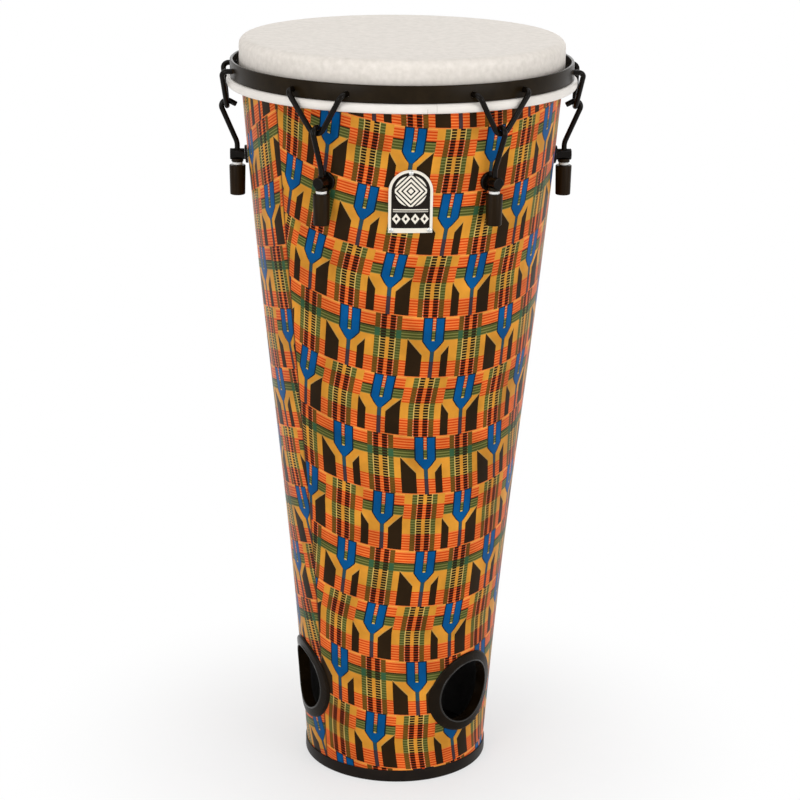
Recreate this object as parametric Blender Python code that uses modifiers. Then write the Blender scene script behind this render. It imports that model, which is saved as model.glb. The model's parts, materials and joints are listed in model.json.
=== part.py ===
"""A mechanically tuned ashiko drum, with one object for each of its pieces.

Metres, +Z up. The drum stands on z = 0 with its axis on Z, and the badge faces -Y.
An azimuth is measured about that axis from -Y towards +X, in degrees.
Each lug station is built in a frame whose +X points out from the drum's axis.
"""
import math

import bmesh
import bpy
from mathutils import Matrix, Vector

MM = 0.001

# Clearance between pieces that touch on the real drum
FIT_GAP = 0.3 * MM

# Facets round the large and the small turned pieces, the ports, and over the bearing edge
LARGE_STEPS = 42
SMALL_STEPS = 12
PORT_STEPS = 24
EDGE_STEPS = 3

# Shell: a cone, slightly hollow above the foot, with a straight seat for the head
SHELL_TOP = 717.5 * MM
SEAT_DEPTH = 33.5 * MM
SHELL_TOP_RADIUS = 150.8 * MM
FOOT_RADIUS = 88.5 * MM
FOOT_HOLLOW = 1.6 * MM
MIDDLE_HOLLOW = 1.5 * MM
SHELL_WALL = 7 * MM
EDGE_ROUND = 6.5 * MM
EDGE_CHAMFER = 1.5 * MM
CONE_RINGS = 6

# Plastic ring on the shell's lower edge
RING_HEIGHT = 12.1 * MM
RING_SOLE = 3 * MM
RING_WALL = 1.6 * MM
RING_INNER_HEIGHT = 9 * MM
RING_ROUND = 1.5 * MM

# Sound ports and their trims
PORT_AZIMUTHS = (43.2, -71.2, 166.0)
PORT_HEIGHT = 88 * MM
PORT_RADIUS = 33.3 * MM
TRIM_OPENING_RADIUS = 31.2 * MM
TRIM_FLANGE_RADIUS = 41.6 * MM
TRIM_RISE = 3 * MM
TRIM_EDGE = 1.2 * MM
TRIM_TAIL = 1 * MM

# Drumhead, its hoop, and the rim that presses on the hoop, with depths below the shell's top
HEAD_THICKNESS = 1 * MM
HEAD_COLLAR_DEPTH = 41 * MM
HOOP_GAP = 0.4 * MM
HOOP_WIDTH = 11.8 * MM
HOOP_HEIGHT = 8.6 * MM
HOOP_DEPTH = 35.3 * MM
HOOP_ROUND = 3.4 * MM
RIM_STANDOFF = 5.6 * MM
RIM_THICKNESS = 2.8 * MM
RIM_HEIGHT = 15.7 * MM
RIM_ROUND = 1 * MM

# Hooks and rods are bent from one size of wire
WIRE_RADIUS = 2.5 * MM
HOOK_HOLE_RISE = 6.8 * MM
HOOK_HALF_SPREAD = 27.1 * MM
HOOK_DROP = 36.3 * MM
HOOK_BOTTOM_BEND = 8 * MM
HOOK_TOP_BEND = 5 * MM
HOOK_END_PAST_RIM = 1.2 * MM
LEG_CLEARANCE = 0.8 * MM
HOOK_LEAN = 1 * MM
ROD_BEND = 15 * MM
ROD_BEND_RISE = 5.7 * MM
ROD_HOOK_TURN = 118
ROD_TAIL = 7 * MM
ROD_THREAD_IN_NUT = 18 * MM

# Lug stations, with their depth below the shell's top
LUG_COUNT = 6
FIRST_LUG_AZIMUTH = 30
LUG_DEPTH = 110 * MM
PLATE_RADIUS = 8.7 * MM
PLATE_THICKNESS = 2.4 * MM
PLATE_ROUND = 0.8 * MM
BARREL_RADIUS = 5.3 * MM
BARREL_LENGTH = 13.8 * MM
BARREL_CHAMFER = 0.6 * MM
BARREL_WEB = 0.6 * MM
CROSS_HOLE_CLEARANCE = 0.45 * MM
BOLT_RADIUS = 2.2 * MM
BOLT_FLANGE_RADIUS = 7 * MM
BOLT_FLANGE_HEIGHT = 1.4 * MM
BOLT_HEAD_RADIUS = 4.6 * MM
BOLT_HEAD_HEIGHT = 3 * MM
SADDLE_RADIUS = 5.7 * MM
SADDLE_THICKNESS = 1.6 * MM
SADDLE_HORN = 1.4 * MM
NYLON_RADIUS = 4.9 * MM
NYLON_THICKNESS = 2.4 * MM
NUT_LENGTH = 28.4 * MM
NUT_TOP_RADIUS = 7.7 * MM
NUT_BOTTOM_RADIUS = 7.15 * MM
NUT_ROUND = 1 * MM
NUT_SOCKET_RADIUS = 4.4 * MM
NUT_SOCKET_DEPTH = 5 * MM

# Badge plate: straight sides under a half-round top, held by three rivets
BADGE_AZIMUTH = 0.8
BADGE_DEPTH = 154 * MM
BADGE_HALF_WIDTH = 19.8 * MM
BADGE_SIDE = 38.2 * MM
BADGE_THICKNESS = 1.2 * MM
BADGE_STRIPS = 6
RIVET_INSET = 2.7 * MM
RIVET_RADIUS = 1.2 * MM
RIVET_HEAD_RADIUS = 2.2 * MM
RIVET_HEAD_HEIGHT = 0.9 * MM

# Sizes that follow from the ones above
SEAT_START = SHELL_TOP - SEAT_DEPTH
HEAD_COLLAR_END = SHELL_TOP - HEAD_COLLAR_DEPTH
HOOP_TOP = SHELL_TOP - HOOP_DEPTH
LUG_HEIGHT = SHELL_TOP - LUG_DEPTH
BADGE_BOTTOM = SHELL_TOP - BADGE_DEPTH
HEAD_RADIUS = SHELL_TOP_RADIUS + FIT_GAP + HEAD_THICKNESS
HOOP_INNER = HEAD_RADIUS + HOOP_GAP
HOOP_OUTER = HOOP_INNER + HOOP_WIDTH
RIM_INNER = HEAD_RADIUS + RIM_STANDOFF
RIM_OUTER = RIM_INNER + RIM_THICKNESS
RIM_BOTTOM = HOOP_TOP + FIT_GAP
HOOK_HOLE_HEIGHT = RIM_BOTTOM + HOOK_HOLE_RISE
LEG_TOP_OUT = HOOP_OUTER + WIRE_RADIUS + LEG_CLEARANCE
HOOK_SEAT_OUT = HOOP_OUTER - HOOK_LEAN
HOOK_SEAT_HEIGHT = HOOK_HOLE_HEIGHT - HOOK_DROP
CROSS_HOLE_RADIUS = WIRE_RADIUS + CROSS_HOLE_CLEARANCE
BOLT_BORE_DEPTH = BARREL_LENGTH / 2 - CROSS_HOLE_RADIUS - BARREL_WEB
SADDLE_BOTTOM = LUG_HEIGHT - BARREL_RADIUS - FIT_GAP - SADDLE_THICKNESS
NYLON_BOTTOM = SADDLE_BOTTOM - FIT_GAP - NYLON_THICKNESS
NUT_TOP = NYLON_BOTTOM - FIT_GAP


def shell_radius(height):
    """Outer radius of the cone at a height: a straight side less two shallow hollows."""
    share = height / SEAT_START
    straight = FOOT_RADIUS + (SHELL_TOP_RADIUS - FOOT_RADIUS) * share
    hollow = FOOT_HOLLOW * math.sin(2 * math.pi * share) + MIDDLE_HOLLOW * math.sin(math.pi * share)
    return straight - hollow


def shell_tilt(height):
    """Angle between the cone's side and the vertical at a height."""
    return math.atan2(shell_radius(height + MM) - shell_radius(height - MM), 2 * MM)


def inner_seat(height, half_width, side=0.0):
    """How far from the axis a flat head sits against the inner wall, just clear of its facets."""
    wall = (shell_radius(height - half_width) - SHELL_WALL) * math.cos(math.pi / LARGE_STEPS)
    return math.sqrt(wall ** 2 - (abs(side) + half_width) ** 2) - FIT_GAP


def station_turn(azimuth):
    """Rotation that brings a station's +X to an azimuth."""
    return math.radians(azimuth - 90)


def clear_scene():
    """Remove what the start file holds, and make the two collections."""
    for thing in list(bpy.data.objects):
        bpy.data.objects.remove(thing, do_unlink=True)
    for name in ("ashiko_drum", "cutters"):
        bpy.context.scene.collection.children.link(bpy.data.collections.new(name))


def material(name, colour, roughness, metallic=0.0):
    made = bpy.data.materials.new(name)
    made.use_nodes = True
    shader = made.node_tree.nodes["Principled BSDF"]
    shader.inputs["Base Color"].default_value = (*colour, 1)
    shader.inputs["Roughness"].default_value = roughness
    shader.inputs["Metallic"].default_value = metallic
    return made


def place(name, data, finish, parent=None, location=(0, 0, 0), rotation=(0, 0, 0)):
    """Add one piece to the drum's collection."""
    piece = bpy.data.objects.new(name, data)
    bpy.data.collections["ashiko_drum"].objects.link(piece)
    if not data.materials:
        data.materials.append(finish)
    piece.parent = parent
    piece.location = location
    piece.rotation_euler = rotation
    return piece


def arc(centre_x, centre_z, radius, start, end, count):
    """Points of an arc in a profile, angles in degrees from +X towards +Z."""
    points = []
    for k in range(count + 1):
        angle = math.radians(start + (end - start) * k / count)
        points.append((centre_x + radius * math.cos(angle), centre_z + radius * math.sin(angle)))
    return points


def turned(profile, steps, closed=True):
    """Turn a profile of (radius, height) points about Z, and return the mesh.

    The profile runs down its outer side. An open one starts and ends on the axis."""
    guide = bpy.data.meshes.new("profile")
    count = len(profile)
    edges = [(k, (k + 1) % count) for k in range(count if closed else count - 1)]
    guide.from_pydata([(radius, 0, height) for radius, height in profile], edges, [])
    holder = bpy.data.objects.new("profile", guide)
    bpy.data.collections["cutters"].objects.link(holder)
    screw = holder.modifiers.new("Turn", "SCREW")
    screw.axis = "Z"
    screw.angle = 2 * math.pi
    screw.steps = steps
    screw.render_steps = steps
    screw.use_merge_vertices = True
    screw.merge_threshold = 0.00001
    return baked(holder)


def baked(holder):
    """Return an object's evaluated mesh, shaded smooth, and remove the object."""
    bpy.context.view_layer.update()
    seen = holder.evaluated_get(bpy.context.evaluated_depsgraph_get())
    mesh = bpy.data.meshes.new_from_object(seen)
    mesh.shade_smooth()
    mesh.set_sharp_from_angle(angle=math.radians(35))
    bpy.data.objects.remove(holder, do_unlink=True)
    return mesh


def cylinder_cutter(name, cylinders):
    """One cutter object from (matrix, radius, depth, sides) cylinders centred on their matrices."""
    shape = bmesh.new()
    for matrix, radius, depth, sides in cylinders:
        bmesh.ops.create_cone(shape, cap_ends=True, segments=sides, radius1=radius, radius2=radius,
                              depth=depth, matrix=matrix)
    data = bpy.data.meshes.new(name)
    shape.to_mesh(data)
    shape.free()
    cutter = bpy.data.objects.new(name, data)
    bpy.data.collections["cutters"].objects.link(cutter)
    cutter.hide_render = True
    cutter.display_type = "WIRE"
    return cutter


def cut_mesh(mesh, cutter):
    """Return a mesh less a cutter, both in the same frame."""
    holder = bpy.data.objects.new("blank", mesh)
    bpy.data.collections["cutters"].objects.link(holder)
    boolean = holder.modifiers.new("Cut", "BOOLEAN")
    boolean.operation = "DIFFERENCE"
    boolean.solver = "EXACT"
    boolean.object = cutter
    return baked(holder)


def outward(azimuth, out, height, side=0.0, tilt=0.0):
    """Matrix of a cylinder whose axis points out from the drum, lowered by tilt."""
    turn = Matrix.Rotation(station_turn(azimuth), 4, "Z")
    return turn @ Matrix.Translation((out, side, height)) @ Matrix.Rotation(math.pi / 2 + tilt, 4, "Y")


def lay_on_shell(mesh, height):
    """Lay a flat piece on the shell, in the frame of its station.

    Before: x runs sideways, y up from the given height, and z is the rise above the shell."""
    for vertex in mesh.vertices:
        side, up, rise = vertex.co
        level = height + up
        reach = shell_radius(level) + rise
        vertex.co = (math.sqrt(reach ** 2 - side ** 2), side, level)
    return mesh


def wire(name, points, finish, parent):
    """A bent wire along points, with closed ends."""
    curve = bpy.data.curves.new(name, "CURVE")
    curve.dimensions = "3D"
    curve.bevel_depth = WIRE_RADIUS
    curve.bevel_resolution = 2
    curve.use_fill_caps = True
    spline = curve.splines.new("POLY")
    spline.points.add(len(points) - 1)
    for slot, point in zip(spline.points, points):
        slot.co = (*point, 1)
    return place(name, curve, finish, parent)


def bend(before, corner, after, radius, count):
    """Points of the bend that rounds one corner of a wire's route."""
    inward = (before - corner).normalized()
    onward = (after - corner).normalized()
    half = inward.angle(onward) / 2
    length = radius / math.tan(half)
    middle = corner + (inward + onward).normalized() * (radius / math.sin(half))
    start = corner + inward * length - middle
    end = corner + onward * length - middle
    return [middle + start.slerp(end, k / count) * radius / start.slerp(end, k / count).length
            for k in range(count + 1)]


def make_shell(finish):
    """The cone, with its ports and its bolt and rivet holes."""
    bottom = RING_SOLE + FIT_GAP
    edge = min(EDGE_ROUND, SHELL_WALL - FIT_GAP)
    levels = [SEAT_START + (bottom - SEAT_START) * k / CONE_RINGS for k in range(CONE_RINGS + 1)]
    profile = arc(SHELL_TOP_RADIUS - edge, SHELL_TOP - edge, edge, 90, 0, EDGE_STEPS)
    profile += [(shell_radius(level), level) for level in levels]
    profile += [(shell_radius(level) - SHELL_WALL, level) for level in reversed(levels)]
    profile += [(SHELL_TOP_RADIUS - SHELL_WALL, SHELL_TOP - EDGE_CHAMFER)]
    shell = turned(profile, LARGE_STEPS)
    reach = 4 * SHELL_WALL + TRIM_RISE
    holes = []
    for azimuth in PORT_AZIMUTHS:
        holes.append((outward(azimuth, shell_radius(PORT_HEIGHT), PORT_HEIGHT), PORT_RADIUS,
                      2 * PORT_RADIUS, PORT_STEPS))
    for azimuth in lug_azimuths():
        holes.append((outward(azimuth, shell_radius(LUG_HEIGHT), LUG_HEIGHT), BOLT_RADIUS + FIT_GAP,
                      reach, SMALL_STEPS))
    for side, level in rivet_places():
        holes.append((outward(BADGE_AZIMUTH, shell_radius(level), level, side), RIVET_RADIUS + FIT_GAP,
                      reach, SMALL_STEPS))
    return place("shell", cut_mesh(shell, cylinder_cutter("shell_holes", holes)), finish)


def make_base_ring(finish):
    """A U-shaped plastic ring that caps the shell's lower edge."""
    outer = FOOT_RADIUS + FIT_GAP + RING_WALL
    lip = FOOT_RADIUS - SHELL_WALL - FIT_GAP
    inner = lip - RING_WALL
    profile = [(shell_radius(RING_HEIGHT) + FIT_GAP, RING_HEIGHT), (outer, RING_HEIGHT)]
    profile += arc(outer - RING_ROUND, RING_ROUND, RING_ROUND, 0, -90, 2)
    profile += arc(inner + RING_ROUND, RING_ROUND, RING_ROUND, -90, -180, 2)
    profile += [(inner, RING_INNER_HEIGHT), (lip, RING_INNER_HEIGHT), (lip, RING_SOLE)]
    profile += [(shell_radius(RING_SOLE) + FIT_GAP, RING_SOLE)]
    place("base_ring", turned(profile, LARGE_STEPS), finish)


def make_port_trims(finish):
    """Round trims whose flanges follow the shell, with sleeves through its wall."""
    sleeve = PORT_RADIUS - FIT_GAP
    tail = -SHELL_WALL - TRIM_TAIL
    half = (TRIM_OPENING_RADIUS + TRIM_FLANGE_RADIUS) / 2
    profile = [(TRIM_OPENING_RADIUS, TRIM_RISE - TRIM_EDGE),
               (TRIM_OPENING_RADIUS + TRIM_EDGE, TRIM_RISE),
               (half, TRIM_RISE),
               (TRIM_FLANGE_RADIUS - TRIM_EDGE, TRIM_RISE - TRIM_EDGE),
               (TRIM_FLANGE_RADIUS, FIT_GAP),
               (half, FIT_GAP),
               (sleeve, FIT_GAP),
               (sleeve, tail),
               (TRIM_OPENING_RADIUS, tail)]
    trim = lay_on_shell(turned(profile, PORT_STEPS), PORT_HEIGHT)
    for number, azimuth in enumerate(PORT_AZIMUTHS, 1):
        place(f"port_trim_{number}", trim, finish, rotation=(0, 0, station_turn(azimuth)))


def make_drumhead(finish):
    """The stretched head: a flat top, turned down over the bearing edge into a straight collar."""
    edge = min(EDGE_ROUND, SHELL_WALL - FIT_GAP)
    middle = SHELL_TOP_RADIUS - edge
    level = SHELL_TOP - edge
    inner = edge + FIT_GAP
    outer = inner + HEAD_THICKNESS
    profile = [(0, level + outer)] + arc(middle, level, outer, 90, 0, EDGE_STEPS)
    profile += [(middle + outer, HEAD_COLLAR_END), (middle + inner, HEAD_COLLAR_END)]
    profile += arc(middle, level, inner, 0, 90, EDGE_STEPS) + [(0, level + inner)]
    place("drumhead", turned(profile, LARGE_STEPS, closed=False), finish)


def make_hoop(finish, parent):
    """The moulded hoop round the head's collar, rounder on its outer side."""
    bottom = HOOP_TOP - HOOP_HEIGHT
    big = HOOP_ROUND
    small = HOOP_ROUND / 3
    profile = arc(HOOP_OUTER - big, HOOP_TOP - big, big, 90, 0, 2)
    profile += arc(HOOP_OUTER - big, bottom + big, big, 0, -90, 2)
    profile += [(HOOP_INNER + small, bottom), (HOOP_INNER, bottom + small)]
    profile += [(HOOP_INNER, HOOP_TOP - small), (HOOP_INNER + small, HOOP_TOP)]
    place("flesh_hoop", turned(profile, LARGE_STEPS), finish, parent)


def make_rim(finish, parent):
    """The steel band on the hoop, with two holes for each hook."""
    top = RIM_BOTTOM + RIM_HEIGHT
    profile = [(RIM_INNER, top - RIM_ROUND), (RIM_INNER + RIM_ROUND, top), (RIM_OUTER - RIM_ROUND, top),
               (RIM_OUTER, top - RIM_ROUND), (RIM_OUTER, RIM_BOTTOM), (RIM_INNER, RIM_BOTTOM)]
    holes = []
    for azimuth in lug_azimuths():
        for side in (-HOOK_HALF_SPREAD, HOOK_HALF_SPREAD):
            holes.append((outward(azimuth, RIM_OUTER, HOOK_HOLE_HEIGHT, side), WIRE_RADIUS + FIT_GAP,
                          8 * RIM_THICKNESS, 10))
    rim = cut_mesh(turned(profile, LARGE_STEPS), cylinder_cutter("rim_holes", holes))
    place("rim", rim, finish, parent)


def hook_route():
    """Route of a V hook: in through the rim, down each leg and round the bend at the bottom."""
    apex = HOOK_SEAT_HEIGHT
    for _ in range(20):
        half_angle = math.atan2(HOOK_HALF_SPREAD, HOOK_HOLE_HEIGHT - apex)
        apex = HOOK_SEAT_HEIGHT - HOOK_BOTTOM_BEND * (1 / math.sin(half_angle) - 1)
    fall = (LEG_TOP_OUT - HOOK_SEAT_OUT) / (HOOK_HOLE_HEIGHT - HOOK_SEAT_HEIGHT)
    apex_out = LEG_TOP_OUT - fall * (HOOK_HOLE_HEIGHT - apex)
    end_out = math.sqrt(RIM_INNER ** 2 - HOOK_HALF_SPREAD ** 2) - HOOK_END_PAST_RIM
    end = Vector((end_out, HOOK_HALF_SPREAD, HOOK_HOLE_HEIGHT))
    corner = Vector((LEG_TOP_OUT, HOOK_HALF_SPREAD, HOOK_HOLE_HEIGHT))
    point = Vector((apex_out, 0, apex))
    flip = Matrix.Diagonal((1, -1, 1))
    left = [end] + bend(end, corner, point, HOOK_TOP_BEND, 3)
    bottom = bend(corner, point, flip @ corner, HOOK_BOTTOM_BEND, 4)
    return left + bottom + [flip @ spot for spot in reversed(left)]


def rod_route(rod_out):
    """Route of a tension rod: up through the lug, outwards, and hooked over the V's bend."""
    hook = WIRE_RADIUS * 2 + FIT_GAP
    seat = Vector((HOOK_SEAT_OUT, 0, HOOK_SEAT_HEIGHT))
    foot = Vector((rod_out, 0, NUT_TOP - ROD_THREAD_IN_NUT))
    corner = Vector((rod_out, 0, LUG_HEIGHT + BARREL_RADIUS + ROD_BEND_RISE))
    across = seat - corner
    lean = math.atan2(across.x, across.z) + math.asin(hook / across.length)
    turns = [-lean + (math.radians(ROD_HOOK_TURN) + lean) * k / 6 for k in range(7)]
    hooked = [seat + hook * Vector((math.cos(turn), 0, math.sin(turn))) for turn in turns]
    tail = hooked[-1] + ROD_TAIL * Vector((-math.sin(turns[-1]), 0, math.cos(turns[-1])))
    return [foot] + bend(foot, corner, hooked[0], ROD_BEND, 3) + hooked + [tail]


def lug_azimuths():
    return [FIRST_LUG_AZIMUTH + 360 * k / LUG_COUNT for k in range(LUG_COUNT)]


def rivet_places():
    """Sideways place and height of each rivet."""
    side = BADGE_HALF_WIDTH - RIVET_INSET
    top = BADGE_BOTTOM + BADGE_SIDE + BADGE_HALF_WIDTH - RIVET_INSET
    return [(0, top), (side, BADGE_BOTTOM + RIVET_INSET), (-side, BADGE_BOTTOM + RIVET_INSET)]


def plate_mesh():
    """A round escutcheon with a softened edge and a hole for the bolt."""
    hole = BOLT_RADIUS + 3 * FIT_GAP
    profile = [(hole, PLATE_THICKNESS), (PLATE_RADIUS - PLATE_ROUND, PLATE_THICKNESS),
               (PLATE_RADIUS, PLATE_THICKNESS - PLATE_ROUND), (PLATE_RADIUS, 0), (hole, 0)]
    return turned(profile, SMALL_STEPS + 2)


def barrel_mesh(seat_rise, tilt):
    """The lug's post: a bored barrel with a cross hole, cut back to the slant of its plate.

    Its frame has +Z along the barrel, from the shell's surface outwards."""
    bore = BOLT_RADIUS + FIT_GAP
    tip = seat_rise + BARREL_LENGTH
    floor = seat_rise + BOLT_BORE_DEPTH
    profile = [(0, tip), (BARREL_RADIUS - BARREL_CHAMFER, tip), (BARREL_RADIUS, tip - BARREL_CHAMFER),
               (BARREL_RADIUS, 0), (bore, 0), (bore, floor), (0, floor)]
    middle = seat_rise + BARREL_LENGTH / 2
    cross = Matrix.Translation((0, 0, middle)) @ Matrix.Rotation(math.pi / 2, 4, "Y")
    deep = 4 * BARREL_RADIUS
    slant = Matrix.Rotation(tilt, 4, "Y") @ Matrix.Translation((0, 0, seat_rise - deep / 2))
    cutter = cylinder_cutter("barrel_holes", [(cross, CROSS_HOLE_RADIUS, deep, SMALL_STEPS)])
    back = cylinder_cutter("barrel_back", [(slant, deep, deep, SMALL_STEPS)])
    return cut_mesh(cut_mesh(turned(profile, SMALL_STEPS + 2, closed=False), cutter), back)


def bolt_mesh(shank):
    """A flanged bolt, driven from inside the shell. Its frame has +Z outwards from under the flange."""
    profile = [(0, shank), (BOLT_RADIUS, shank), (BOLT_RADIUS, 0), (BOLT_FLANGE_RADIUS, 0),
               (BOLT_FLANGE_RADIUS, -BOLT_FLANGE_HEIGHT), (BOLT_HEAD_RADIUS, -BOLT_FLANGE_HEIGHT),
               (BOLT_HEAD_RADIUS, -BOLT_FLANGE_HEIGHT - BOLT_HEAD_HEIGHT),
               (0, -BOLT_FLANGE_HEIGHT - BOLT_HEAD_HEIGHT)]
    return turned(profile, SMALL_STEPS, closed=False)


def saddle_mesh():
    """A washer whose top is hollowed to the barrel. Its frame has its underside at z = 0."""
    height = SADDLE_THICKNESS + SADDLE_HORN
    profile = [(CROSS_HOLE_RADIUS, height), (SADDLE_RADIUS, height), (SADDLE_RADIUS, 0),
               (CROSS_HOLE_RADIUS, 0)]
    above = SADDLE_THICKNESS + FIT_GAP + BARREL_RADIUS
    lie = Matrix.Translation((0, 0, above)) @ Matrix.Rotation(math.pi / 2, 4, "Y")
    hollow = [(lie, BARREL_RADIUS + FIT_GAP, 4 * SADDLE_RADIUS, 2 * SMALL_STEPS)]
    return cut_mesh(turned(profile, SMALL_STEPS), cylinder_cutter("saddle_hollow", hollow))


def nylon_mesh():
    profile = [(CROSS_HOLE_RADIUS, NYLON_THICKNESS), (NYLON_RADIUS, NYLON_THICKNESS), (NYLON_RADIUS, 0),
               (CROSS_HOLE_RADIUS, 0)]
    return turned(profile, SMALL_STEPS)


def nut_mesh():
    """A tapered sleeve nut with a socket for the tuning key in its foot. Its top is at z = 0."""
    profile = [(CROSS_HOLE_RADIUS, 0), (NUT_TOP_RADIUS - NUT_ROUND, 0), (NUT_TOP_RADIUS, -NUT_ROUND),
               (NUT_BOTTOM_RADIUS, NUT_ROUND - NUT_LENGTH), (NUT_BOTTOM_RADIUS - NUT_ROUND, -NUT_LENGTH),
               (CROSS_HOLE_RADIUS, -NUT_LENGTH)]
    foot = Matrix.Translation((0, 0, -NUT_LENGTH))
    socket = cylinder_cutter("nut_socket", [(foot, NUT_SOCKET_RADIUS, 2 * NUT_SOCKET_DEPTH, 6)])
    return cut_mesh(turned(profile, SMALL_STEPS), socket)


def make_stations(finishes, tuning):
    """Six lug stations, each with its lug, washers, nut, rod and hook."""
    black = finishes["black_metal"]
    surface = shell_radius(LUG_HEIGHT)
    tilt = shell_tilt(LUG_HEIGHT)
    seat_rise = 2 * FIT_GAP + PLATE_THICKNESS
    rod_out = surface + seat_rise + BARREL_LENGTH / 2
    bolt_out = inner_seat(LUG_HEIGHT, BOLT_FLANGE_RADIUS)
    shank = surface + seat_rise + BOLT_BORE_DEPTH - FIT_GAP - bolt_out
    plate = plate_mesh()
    barrel = barrel_mesh(seat_rise, tilt)
    bolt = bolt_mesh(shank)
    saddle = saddle_mesh()
    nylon = nylon_mesh()
    nut = nut_mesh()
    across = (0, math.pi / 2, 0)
    slant = (0, math.pi / 2 + tilt, 0)
    lift = FIT_GAP * Vector((math.cos(tilt), 0, -math.sin(tilt)))
    for number, azimuth in enumerate(lug_azimuths(), 1):
        station = bpy.data.objects.new(f"station_{number}", None)
        bpy.data.collections["ashiko_drum"].objects.link(station)
        station.rotation_euler = (0, 0, station_turn(azimuth))
        moving = bpy.data.objects.new(f"moving_station_{number}", None)
        bpy.data.collections["ashiko_drum"].objects.link(moving)
        moving.parent = tuning
        moving.rotation_euler = station.rotation_euler
        seat = Vector((surface, 0, LUG_HEIGHT))
        place(f"lug_plate_{number}", plate, black, station, seat + lift, slant)
        place(f"lug_barrel_{number}", barrel, black, station, seat, across)
        place(f"lug_bolt_{number}", bolt, finishes["zinc"], station, (bolt_out, 0, LUG_HEIGHT), across)
        place(f"saddle_washer_{number}", saddle, black, station, (rod_out, 0, SADDLE_BOTTOM))
        place(f"nylon_washer_{number}", nylon, finishes["nylon"], station, (rod_out, 0, NYLON_BOTTOM))
        place(f"tuning_nut_{number}", nut, black, station, (rod_out, 0, NUT_TOP))
        wire(f"tension_rod_{number}", rod_route(rod_out), black, moving)
        wire(f"v_hook_{number}", hook_route(), black, moving)


def badge_mesh():
    """The badge's flat outline made solid, with its rivet holes, then bent round the shell."""
    outline = [(-BADGE_HALF_WIDTH, 0), (BADGE_HALF_WIDTH, 0)]
    outline += arc(0, BADGE_SIDE, BADGE_HALF_WIDTH, 0, 180, 16)
    shape = bmesh.new()
    face = shape.faces.new([shape.verts.new((x, y, FIT_GAP)) for x, y in outline])
    raised = bmesh.ops.extrude_face_region(shape, geom=[face])["geom"]
    corners = [part for part in raised if isinstance(part, bmesh.types.BMVert)]
    bmesh.ops.translate(shape, verts=corners, vec=(0, 0, BADGE_THICKNESS))
    bmesh.ops.recalc_face_normals(shape, faces=shape.faces)
    flat = bpy.data.meshes.new("badge_outline")
    shape.to_mesh(flat)
    shape.free()
    holes = [(Matrix.Translation((side, level - BADGE_BOTTOM, 0)), RIVET_RADIUS + FIT_GAP,
              4 * BADGE_THICKNESS, SMALL_STEPS) for side, level in rivet_places()]
    drilled = cut_mesh(flat, cylinder_cutter("badge_holes", holes))
    shape = bmesh.new()
    shape.from_mesh(drilled)
    for k in range(1, BADGE_STRIPS):
        cut = BADGE_HALF_WIDTH * (2 * k / BADGE_STRIPS - 1)
        whole = shape.verts[:] + shape.edges[:] + shape.faces[:]
        bmesh.ops.bisect_plane(shape, geom=whole, plane_co=(cut, 0, 0), plane_no=(1, 0, 0))
    bmesh.ops.triangulate(shape, faces=shape.faces)
    shape.to_mesh(drilled)
    shape.free()
    return lay_on_shell(drilled, BADGE_BOTTOM)


def make_badge(plate_finish, rivet_finish):
    """The badge plate and the rivets that hold it."""
    turn = (0, 0, station_turn(BADGE_AZIMUTH))
    place("badge_plate", badge_mesh(), plate_finish, rotation=turn)
    for number, (side, level) in enumerate(rivet_places(), 1):
        rivet = rivet_mesh(side, level)
        centre = Matrix.Rotation(turn[2], 4, "Z") @ Vector((0, side, level))
        place(f"badge_rivet_{number}", rivet, rivet_finish, location=centre,
              rotation=(0, math.pi / 2, turn[2]))


def rivet_mesh(side, level):
    """A domed rivet with a set head inside the shell, along +Z from the drum's middle plane."""
    outer = math.sqrt((shell_radius(level) + FIT_GAP + BADGE_THICKNESS) ** 2 - side ** 2)
    outer += (shell_radius(level + RIVET_HEAD_RADIUS) - shell_radius(level)) + FIT_GAP / 2
    inner = inner_seat(level, RIVET_HEAD_RADIUS, side)
    profile = [(0, outer + RIVET_HEAD_HEIGHT), (RIVET_HEAD_RADIUS * 0.6, outer + RIVET_HEAD_HEIGHT * 0.8),
               (RIVET_HEAD_RADIUS, outer), (RIVET_RADIUS, outer), (RIVET_RADIUS, inner),
               (RIVET_HEAD_RADIUS, inner), (RIVET_HEAD_RADIUS * 0.7, inner - RIVET_HEAD_HEIGHT),
               (0, inner - RIVET_HEAD_HEIGHT)]
    return turned(profile, SMALL_STEPS - 4, closed=False)


def main():
    clear_scene()
    finishes = {
        "film": material("printed_film", (0.72, 0.33, 0.10), 0.35),
        "black_plastic": material("black_plastic", (0.012, 0.011, 0.010), 0.45),
        "head": material("head_film", (0.66, 0.65, 0.62), 0.5),
        "hoop": material("white_hoop", (0.86, 0.85, 0.82), 0.35),
        "black_metal": material("black_metal", (0.022, 0.018, 0.014), 0.38, 0.3),
        "zinc": material("zinc_plate", (0.62, 0.62, 0.60), 0.35, 1.0),
        "nylon": material("white_nylon", (0.88, 0.87, 0.84), 0.4),
        "badge": material("badge_enamel", (0.02, 0.018, 0.016), 0.3),
    }
    tuning = bpy.data.objects.new("tuning_ring", None)
    bpy.data.collections["ashiko_drum"].objects.link(tuning)
    make_shell(finishes["film"])
    make_base_ring(finishes["black_plastic"])
    make_port_trims(finishes["black_plastic"])
    make_drumhead(finishes["head"])
    make_hoop(finishes["hoop"], tuning)
    make_rim(finishes["black_metal"], tuning)
    make_stations(finishes, tuning)
    make_badge(finishes["badge"], finishes["zinc"])


main()
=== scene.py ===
"""The looks of a mechanically tuned ashiko drum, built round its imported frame.

Metres, +Z up. The badge faces -Y, and an azimuth runs from -Y towards +X, in degrees.
Pieces of a lug station are built in a frame whose +X points out from the drum's axis.
"""
import json
from functools import partialmethod, reduce
from math import asin, atan2, copysign, cos, degrees, hypot, pi, radians, sin, sqrt, tan
from operator import or_

import bmesh
import bpy
from mathutils import Matrix, Vector

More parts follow.
